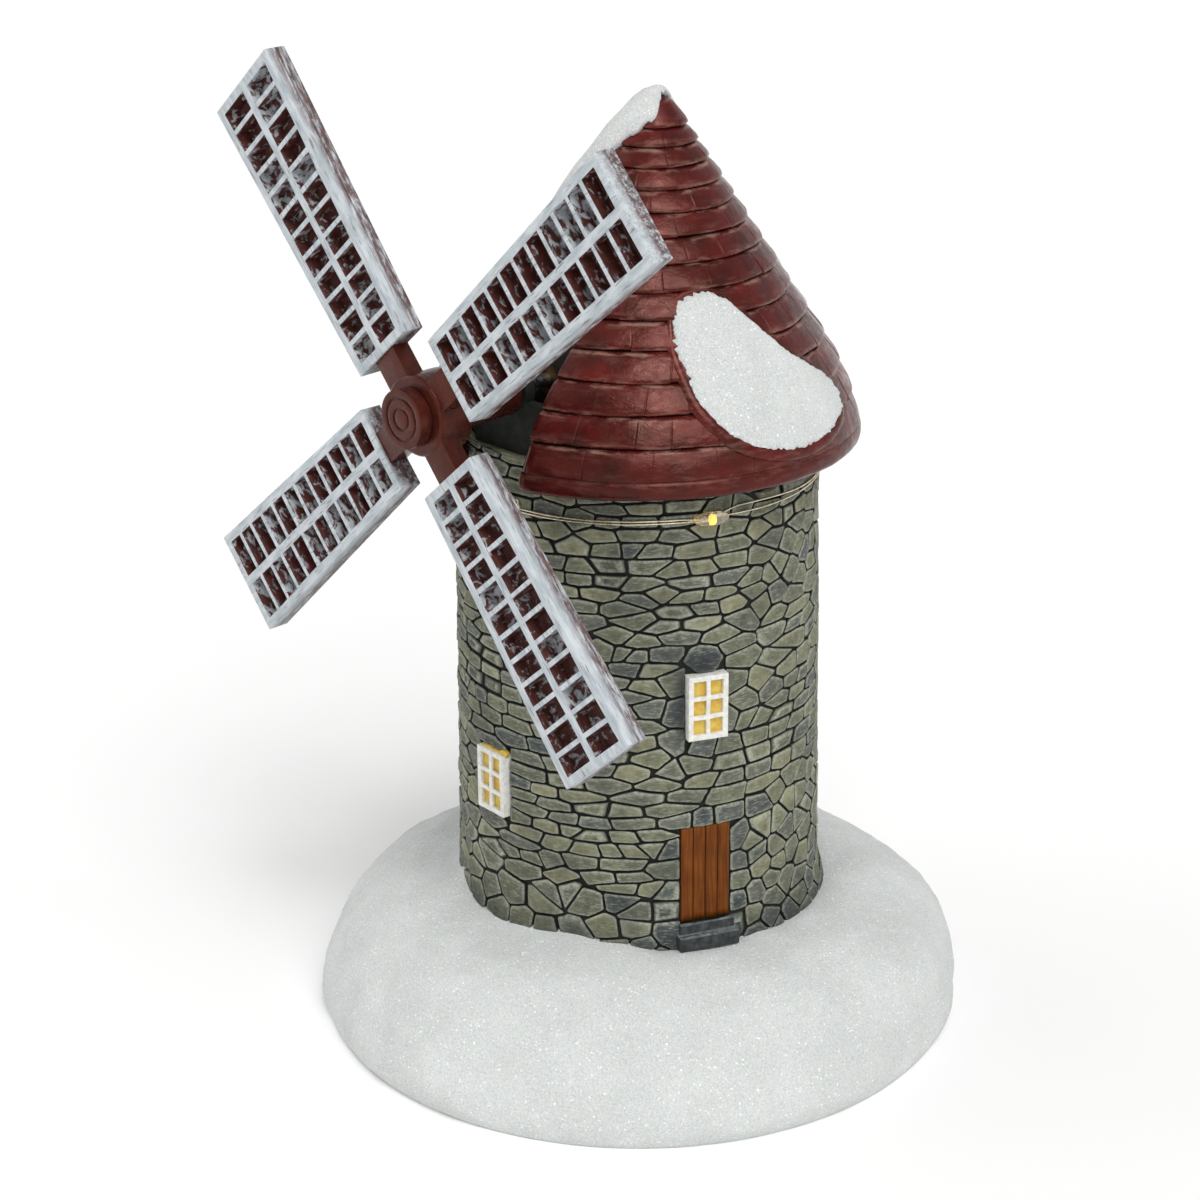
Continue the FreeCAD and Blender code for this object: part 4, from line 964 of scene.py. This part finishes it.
def shingle_columns(girth, length, rng):
    """Columns along a course: (distance along, depth of the joint there, lift, drop, tint) for each."""
    joints = [0.0]
    while joints[-1] < girth - 0.6 * length:
        joints.append(joints[-1] + length * rng.uniform(0.7, 1.4))
    stretch = girth / joints[-1]
    joints = [j * stretch for j in joints]
    columns = []
    for start, end in zip(joints, joints[1:]):
        lift, drop, tint = rng.uniform(0.0, 0.20), rng.uniform(-0.14, 0.14), rng.uniform(0, 1)
        depth = 0.26 if rng.random() < 0.6 else 0.06
        columns.append((start + 0.01, depth, lift, drop, tint))
        inside = [0.16, 0.4] + [0.8 + 1.5 * k for k in range(int((end - start - 1.4) / 1.5))]
        columns += [(start + d, 0.0, lift, drop, tint) for d in inside if start + d < end - 0.45]
        columns += [(end - 0.4, 0.0, lift, drop, tint), (end - 0.16, 0.0, lift, drop, tint)]
    return columns + [(girth, 0.24, lift, drop, tint)]


def end_drop(distance, girth, opening, end_round):
    """How far a course sinks where it is rounded off at the gable opening."""
    near = min(distance, girth - distance)
    if near >= end_round or opening <= 0:
        return 0.0
    return (end_round - math.sqrt(end_round ** 2 - (end_round - near) ** 2)) * min(1.0, opening / 3)


def add_course(skin, low, high, profile, columns, girth, end_round):
    centre = roof_centre((low + high) / 2)
    rows = []
    for above, share, out, wear, shade in profile:
        row = []
        lower = 1 - blend_step(0.0, 1.0, share)
        seen = 1.0 if out > -1 else 0.0
        for along, joint, lift, drop, tint in columns:
            turn = 360 * along / girth
            wave = 0.45 * ripple(*around(turn, roof_radius(low), low), 12, 7.0) if high > FASCIA_TOP else 0.0
            z = low + above + share * (high - low) + (drop + wave) * lower
            radius = roof_radius(z) + out + seen * (lift - joint) * (0.4 + 0.6 * lower)
            opening = gable_half(z, GABLE_HALF - 0.3)
            radius = max(0.15, radius - seen * end_drop(along, girth, opening, end_round))
            start = gable_angle(z, radius, GABLE_HALF - 0.3)
            angle = start + (360 - 2 * start) * along / girth
            radius += 0.14 * seen * ripple(*around(angle, radius, z), 3.5, 1.3)
            # Painted shade from the course tables, deepened along the joints between shingles.
            row.append(skin.add(around(angle, radius, z, centre), wear=wear, shade=max(shade, 1.6 * joint),
                                tint=tint))
        rows.append(row)
    skin.cover(rows, closed=False, looped=True)
    skin.faces.append(tuple(row[0] for row in rows))
    skin.faces.append(tuple(row[-1] for row in reversed(rows)))


def add_core(skin):
    """The cap's wall under the shingles, open at the gable, with its soffit and its hollow."""
    heights = [RIM_Z + 0.1, 139, 142, 146, 150, 154, 158, 161, 163, 165, 167, 169, 171, 172.5, 173.8, 174.6,
               175, 178, 183, 188, 193, CAVITY_TOP]
    outside = [(z, roof_radius(z) - 0.6) for z in heights]
    inside = [(z, SOFFIT_R if z < TOWER_TOP else max(0.5, roof_radius(z) - ROOF_WALL)) for z in heights]

    def row(z, radius, shade):
        start = gable_angle(z, radius)
        centre = roof_centre(z)
        angles = [start + (360 - 2 * start) * k / 180 for k in range(181)]
        return [skin.add(around(angle, radius, z, centre), shade=shade, tint=0.3) for angle in angles]

    outer = [row(z, radius, 0.0) for z, radius in outside]
    # The inside of the cap's wall is darkened as painted shade.
    inner = [row(z, radius, 0.8) for z, radius in inside]
    skin.cover(outer + inner[::-1], closed=False, looped=True)
    for k, (z, _) in enumerate(outside[:-1]):
        if gable_half(z) > 0:
            skin.faces.append((outer[k][0], outer[k + 1][0], inner[k + 1][0], inner[k][0]))
            skin.faces.append((outer[k][-1], inner[k][-1], inner[k + 1][-1], outer[k + 1][-1]))


def add_snow_lip(skin):
    """The shingles swell into a smooth lip round the patch of snow by the door, thickest below and left."""
    loop = smooth_loop(DOOR_PATCH, 120)
    rows = []
    for k, (u, z) in enumerate(loop):
        (au, az), (bu, bz) = loop[k - 1], loop[(k + 1) % len(loop)]
        tangent = Vector((bu - au, bz - az)).normalized()
        out_u, out_z = tangent.y, -tangent.x
        size = 0.32 + 0.9 * blend_step(0.15, -0.85, out_u * 0.35 + out_z * 0.8)
        row = []
        for side in range(10):
            turn = math.pi * 1.1 * side / 9
            across, height = size * 1.3 * math.cos(turn), size * math.sin(turn)
            pu, pz = u + out_u * (across + 0.55), z + out_z * (across + 0.55)
            spot = on_roof(DOOR_PATCH_ANGLE, pu, pz, 0.35 + height + 0.12 * ripple(pu, pz, 0, 3, 2.0))
            # Painted shade along both sides of the lip where it meets the shingles.
            row.append(skin.add(spot, tint=0.45, wear=0.25, shade=0.5 if side in (0, 9) else 0.0))
        rows.append(row)
    skin.cover(rows, looped=True)


def shingled_roof(material):
    rng = random.Random(23)
    skin = Skin("wear", "shade", "tint")
    add_core(skin)
    girth = 2 * math.pi * roof_radius(RIM_Z)
    plain = [(girth * k / 200, 0.0, 0.0, 0.0, 0.2) for k in range(201)]
    near_end = [(d, 0.0, 0.0, 0.0, 0.2) for d in (0.12, 0.35, 0.75, 1.1)]
    far_end = [(girth - d, 0.0, 0.0, 0.0, 0.2) for d, _, _, _, _ in reversed(near_end)]
    round_ends = plain[:1] + near_end + plain[1:-1] + far_end + plain[-1:]
    add_course(skin, RIM_Z, FASCIA_TOP, FASCIA, round_ends, girth, RIM_END_ROUND)
    edges = course_edges()
    for low, high in zip(edges, edges[1:]):
        girth = 2 * math.pi * roof_radius(low)
        columns = shingle_columns(girth, min(SHINGLE_LENGTH, girth / 5), rng)
        is_rim = low < RIM_COURSE_TOP
        add_course(skin, low, high, RIM_COURSE if is_rim else LIP, columns, girth,
                   RIM_END_ROUND if is_rim else COURSE_END_ROUND)
    add_snow_lip(skin)
    piece("roof_shingled", skin, "body", material, ("roof_cap",), weld=True)


# --- sails -------------------------------------------------------------------------------------------------

def sail_measure(number):
    """What a sail's paint follows: the place on it, in a cell or on a side, near an end, and daubs."""
    turn = math.radians(SAIL_REST_ANGLE + 90 * number)
    pitch = (SAIL_OUTER - SAIL_INNER - SAIL_BORDER) / SAIL_ROWS
    rng = random.Random(40 + number)
    daubs = [[rng.random() for _ in range(2)] for _ in range(SAIL_ROWS + 2)]

    def measure(x, y, z):
        along = x * math.cos(turn) + (z - SHAFT_Z) * math.sin(turn)
        across = (z - SHAFT_Z) * math.cos(turn) - x * math.sin(turn)
        depth = y - SAIL_FACE
        share = (along - SAIL_INNER) / (SAIL_OUTER - SAIL_INNER)
        half = SAIL_INNER_HALF + (SAIL_OUTER_HALF - SAIL_INNER_HALF) * share
        framed = SAIL_INNER + 1.2 < along < SAIL_OUTER - 1.2 and abs(across) < half - 1.2
        inside = blend_step(0.04, 0.22, depth) if framed and depth < SAIL_DEPTH - 1.0 else 0.0
        row = min(SAIL_ROWS, max(0, int((along - SAIL_INNER - SAIL_BORDER / 2) / pitch)))
        return {"along": along, "across": across, "depth": depth, "inside": inside,
                "side": 0.0 if inside > 0 else blend_step(0.15, 0.5, depth),
                "ends": blend_step(14, 2, min(along - SAIL_INNER, SAIL_OUTER - along)),
                "dab": 1.0 if daubs[row][int(across > 0)] < 0.32 else 0.15}

    return measure


# --- light string ------------------------------------------------------------------------------------------

def wire_height(angle, upper):
    """The two wires run together between the sails and the first lamp and sag apart on the door's side."""
    near_lamp = min(abs((angle - LED_FIRST_ANGLE - 72 * k + 180) % 360 - 180) for k in range(LED_COUNT))
    apart = blend_step(0, 10, near_lamp)
    past = (angle - LED_FIRST_ANGLE) % 360
    if past > 300:
        return WIRE_PAIR_Z + (0.5 if upper else -0.1) * apart
    lower = WIRE_LOW_Z + 0.25 * math.sin(math.radians(3 * angle))
    rise = 1.15 + 0.55 * math.sin(math.radians(5 * past + 20))
    return lower + (rise * apart if upper else 0.0)


def add_tube(skin, points, radius, sides=8):
    rows = []
    for k, point in enumerate(points):
        ahead = Vector(points[min(k + 1, len(points) - 1)]) - Vector(points[max(k - 1, 0)])
        side = ahead.cross(Vector((0, 0, 1))).normalized()
        up = side.cross(ahead).normalized()
        rows.append([skin.add(Vector(point) + radius * (side * math.cos(t) + up * math.sin(t)))
                     for t in (2 * math.pi * j / sides for j in range(sides))])
    skin.cover(rows[::-1], capped=True)


def light_wires(material):
    skin = Skin()
    wall = tower_radius(WIRE_LOW_Z)
    for upper in (False, True):
        points = [(0.0, wall - TOWER_WALL + 0.6, WIRE_LOW_Z + 0.3), (0.0, wall - 0.6, WIRE_LOW_Z + 0.3)]
        for k in range(361):
            angle = 180.0 + k
            z = wire_height(angle % 360, upper)
            out = WIRE_R + 0.10 + 0.10 * wall_ripple(angle, z, 6, 3.0 if upper else 5.0)
            z += 0.12 * wall_ripple(angle, z, 9, 2.0 if upper else 4.0)
            points.append(around(angle, tower_radius(z) + out, z))
        add_tube(skin, points, WIRE_R)
    piece("light_wires", skin, "body", material, ("led_wires",))


def add_drop(skin, angle, z, out, half, radius, tall, power):
    """A round body lying along the wires: thick in the middle and drawn out to blunt ends."""
    def spot(share, up, away):
        along = math.degrees(half * share / TOWER_REF_R)
        return skin.add(around(angle + along, tower_radius(z) + out + away, z + up))

    rows = []
    for k in range(17, 0, -1):
        share = k / 9 - 1
        size = radius * math.sqrt(1 - abs(share) ** power)
        turns = [2 * math.pi * j / 20 for j in range(20)]
        rows.append([spot(share, tall * size * math.sin(t), size * math.cos(t)) for t in turns])
    skin.cover(rows)
    skin.fan(rows[-1], spot(-1, 0, 0))
    skin.fan(rows[0][::-1], spot(1, 0, 0))


def light_drops(resin, core):
    drops, lamps = Skin(), Skin()
    for k in range(LED_COUNT):
        angle = LED_FIRST_ANGLE + 360 / LED_COUNT * k
        add_drop(drops, angle, LED_Z, LED_R - 0.1, LED_HALF, LED_R, LED_TALL, 2.2)
        add_drop(lamps, angle, LED_Z - 0.1, LED_R + 0.1, 0.85, 0.75, 1.3, 4.0)
    piece("lamp_drops", drops, "body", resin, ("led_drops",))
    piece("lamp_cores", lamps, "body", core)


# --- materials for the parts that CAD shapes fully ----------------------------------------------------------

def other_finishes(paints):
    """Each remaining CAD part keeps its shape and takes a procedural finish for what it is made of; the parts
    and bushes in the cap's hollow are darkened further as painted shade.
    """
    finish = {
        "dark_plastic": ["base_plate", "battery_door", "battery_box"],
        # Parts in the cap's dark hollow: dark plastic painted near-black, as painted shade.
        "cap_dark_painted_shade": ["tower_deck", "shaft_cradle", "gearbox_housing", "gearbox_cover"],
        "black_plastic": ["switch_body", "switch_slider"],
        "nylon": ["idler_gear", "output_gear", "motor_pinion"],
        "steel": ["base_screws", "deck_screws", "idler_pin", "motor_body", "motor_shaft", "windshaft",
                  "battery_contacts", "shaft_collar"],
        "brass": ["front_bush", "rear_bush"],
        # The bushes take brass darkened as painted shade.
        "battery_skin": ["battery_cell_front", "battery_cell_rear"],
        "lead_red": ["switch_leads", "led_lead", "motor_lead"],
        "window_yellow": ["window_pane_door_side", "window_pane_sail_side"],
    }
    for kind, names in finish.items():
        for name in names:
            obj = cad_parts[name]
            if not obj.material_slots:
                obj.data.materials.append(paints[kind])
            for slot in obj.material_slots:
                slot.material = paints[kind]


# --- scene -------------------------------------------------------------------------------------------------

def make_camera():
    """Stands at an angle round the ornament and is turned from facing its axis by the yaw, pitch and roll."""
    data = bpy.data.cameras.new("camera")
    data.sensor_width = 36.0
    data.lens = CAMERA_LENS
    data.clip_start = 0.01
    camera = bpy.data.objects.new("camera", data)
    bpy.context.scene.collection.objects.link(camera)
    spot = Vector(around(CAMERA_AZIMUTH, CAMERA_AWAY, CAMERA_HEIGHT)) * MM
    turns = [(CAMERA_AZIMUTH - CAMERA_YAW, "Z"), (90 - CAMERA_PITCH, "X"), (CAMERA_ROLL, "Z")]
    camera.matrix_world = Matrix.Translation(spot)
    for angle, axis in turns:
        camera.matrix_world = camera.matrix_world @ Matrix.Rotation(math.radians(angle), 4, axis)
    bpy.context.scene.camera = camera


def soft_light(name, angle, height, spread, strength):
    data = bpy.data.lights.new(name, "SUN")
    data.energy = strength
    data.angle = math.radians(spread)
    light = bpy.data.objects.new(name, data)
    bpy.context.scene.collection.objects.link(light)
    tilt = math.radians(height)
    light.rotation_mode = "QUATERNION"
    shine = -Vector(around(angle, math.cos(tilt), math.sin(tilt)))
    light.rotation_quaternion = shine.to_track_quat("-Z", "Y")


def studio():
    mesh = bpy.data.meshes.new("floor")
    size = FLOOR_HALF * MM
    corners = [(x, y, -0.02 * MM) for x, y in ((-size, -size), (size, -size), (size, size), (-size, size))]
    mesh.from_pydata(corners, [], [(0, 1, 2, 3)])
    mesh.materials.append(floor_paint())
    floor = bpy.data.objects.new("floor", mesh)
    bpy.context.scene.collection.objects.link(floor)
    for name, settings in LAMPS.items():
        soft_light(name, *settings)
    world = bpy.data.worlds.new("studio")
    world.use_nodes = True
    nodes, links = world.node_tree.nodes, world.node_tree.links
    direction = nodes.new("ShaderNodeSeparateXYZ")
    links.new(nodes.new("ShaderNodeTexCoord").outputs["Generated"], direction.inputs[0])
    sky = nodes.new("ShaderNodeMapRange")
    links.new(direction.outputs[2], sky.inputs["Value"])
    sky.inputs["From Max"].default_value = SKY_FADE
    sky.inputs["To Min"].default_value = SKY_LOW
    sky.inputs["To Max"].default_value = SKY_HIGH
    links.new(sky.outputs["Result"], nodes["Background"].inputs["Strength"])
    nodes["Background"].inputs["Color"].default_value = (1.0, 1.0, 1.0, 1.0)
    bpy.context.scene.world = world
    bpy.context.scene.view_settings.view_transform = "Standard"


def make_paints():
    glossy = {
        "hub": ("hub_brown", (0.042, 0.0085, 0.0058), (0.068, 0.0135, 0.009), 4.0, 0.14, 0.30, 0.12),
        "window_yellow": ("window_yellow", (0.62, 0.34, 0.03), (0.65, 0.51, 0.10), 1.5, 0.3, 0.5, 0.06),
        "dark_plastic": ("dark_plastic", (0.022, 0.026, 0.022), (0.042, 0.050, 0.040), 3.0, 0.42, 0.62),
        # Near-black and rough, as painted shade over the dark plastic in the cap's hollow.
        "cap_dark_painted_shade": ("cap_dark_painted_shade", (0.005, 0.006, 0.005), (0.013, 0.016, 0.012), 3.0, 0.65, 0.85),
        "black_plastic": ("black_plastic", (0.010, 0.010, 0.011), (0.022, 0.022, 0.024), 3.0, 0.35, 0.55),
        "nylon": ("nylon", (0.62, 0.60, 0.54), (0.74, 0.72, 0.66), 3.0, 0.35, 0.5),
        "battery_skin": ("battery_skin", (0.04, 0.10, 0.17), (0.06, 0.15, 0.24), 5.0, 0.25, 0.4),
        "lead_red": ("lead_red", (0.30, 0.018, 0.016), (0.42, 0.030, 0.026), 3.0, 0.35, 0.5),
        "wire": ("champagne_wire", (0.55, 0.46, 0.30), (0.80, 0.74, 0.58), 2.0, 0.22, 0.40),
        "steel": ("steel", (0.46, 0.46, 0.47), (0.62, 0.62, 0.63), 2.0, 0.22, 0.38),
        # Brass darkened far below its own colour, as painted shade inside the gable.
        "brass": ("brass_darkened_as_shade", (0.10, 0.062, 0.026), (0.18, 0.115, 0.048), 2.0, 0.35, 0.5),
        "resin": ("clear_resin", (0.80, 0.76, 0.72), (0.97, 0.95, 0.92), 0.9, 0.06, 0.20, 0.06),
    }
    extra = {kind: {"Metallic": 1.0} for kind in ("wire", "steel", "brass")}
    extra["hub"] = {"Specular_Tint": (0.72, 0.30, 0.22, 1.0)}
    extra["resin"] = {"Transmission_Weight": 0.85, "IOR": 1.47}
    made = {"stone": stone_paint(), "snow": snow_paint(), "roof": roof_paint(), "sail": sail_paint(),
            "door": door_paint(), "step": step_paint(), "frame": frame_paint(), "lamp": lamp_paint()}
    return made | {kind: gloss_paint(*finish, **extra.get(kind, {})) for kind, finish in glossy.items()}


make_camera()
studio()
paints = make_paints()
masonry_tower(paints["stone"])
plank_door(paints["door"])
softened("door_steps", "worn_steps", "body", paints["step"], 0.45, 0.22)
for window in WINDOWS:
    softened("window_frame_" + window, "painted_frame_" + window, "body", paints["frame"],
             0.16, 0.10)
window_insert(paints["window_yellow"])
snow_mound(paints["snow"])
shingled_roof(paints["roof"])
snow_patch("roof_snow_by_door", "roof_snow_right", DOOR_PATCH_ANGLE, DOOR_PATCH, DOOR_PATCH_THICK,
           paints["snow"])
snow_patch("roof_snow_behind", "roof_snow_back", BACK_PATCH_ANGLE, BACK_PATCH, BACK_PATCH_THICK,
           paints["snow"])
snow_crown(paints["snow"])
for number in range(4):
    softened("sail_%d" % (number + 1), "brushed_sail_%d" % (number + 1), "sails",
             paints["sail"], 0.22, 0.16, sail_measure(number))
softened("hub_cross", "hub_cast", "sails", paints["hub"], 0.45, 0.14)
softened("hub_cap", "hub_cap_cast", "sails", paints["hub"], 0.10, 0.05)
light_wires(paints["wire"])
light_drops(paints["resin"], paints["lamp"])
other_finishes(paints)

bpy.context.view_layer.update()
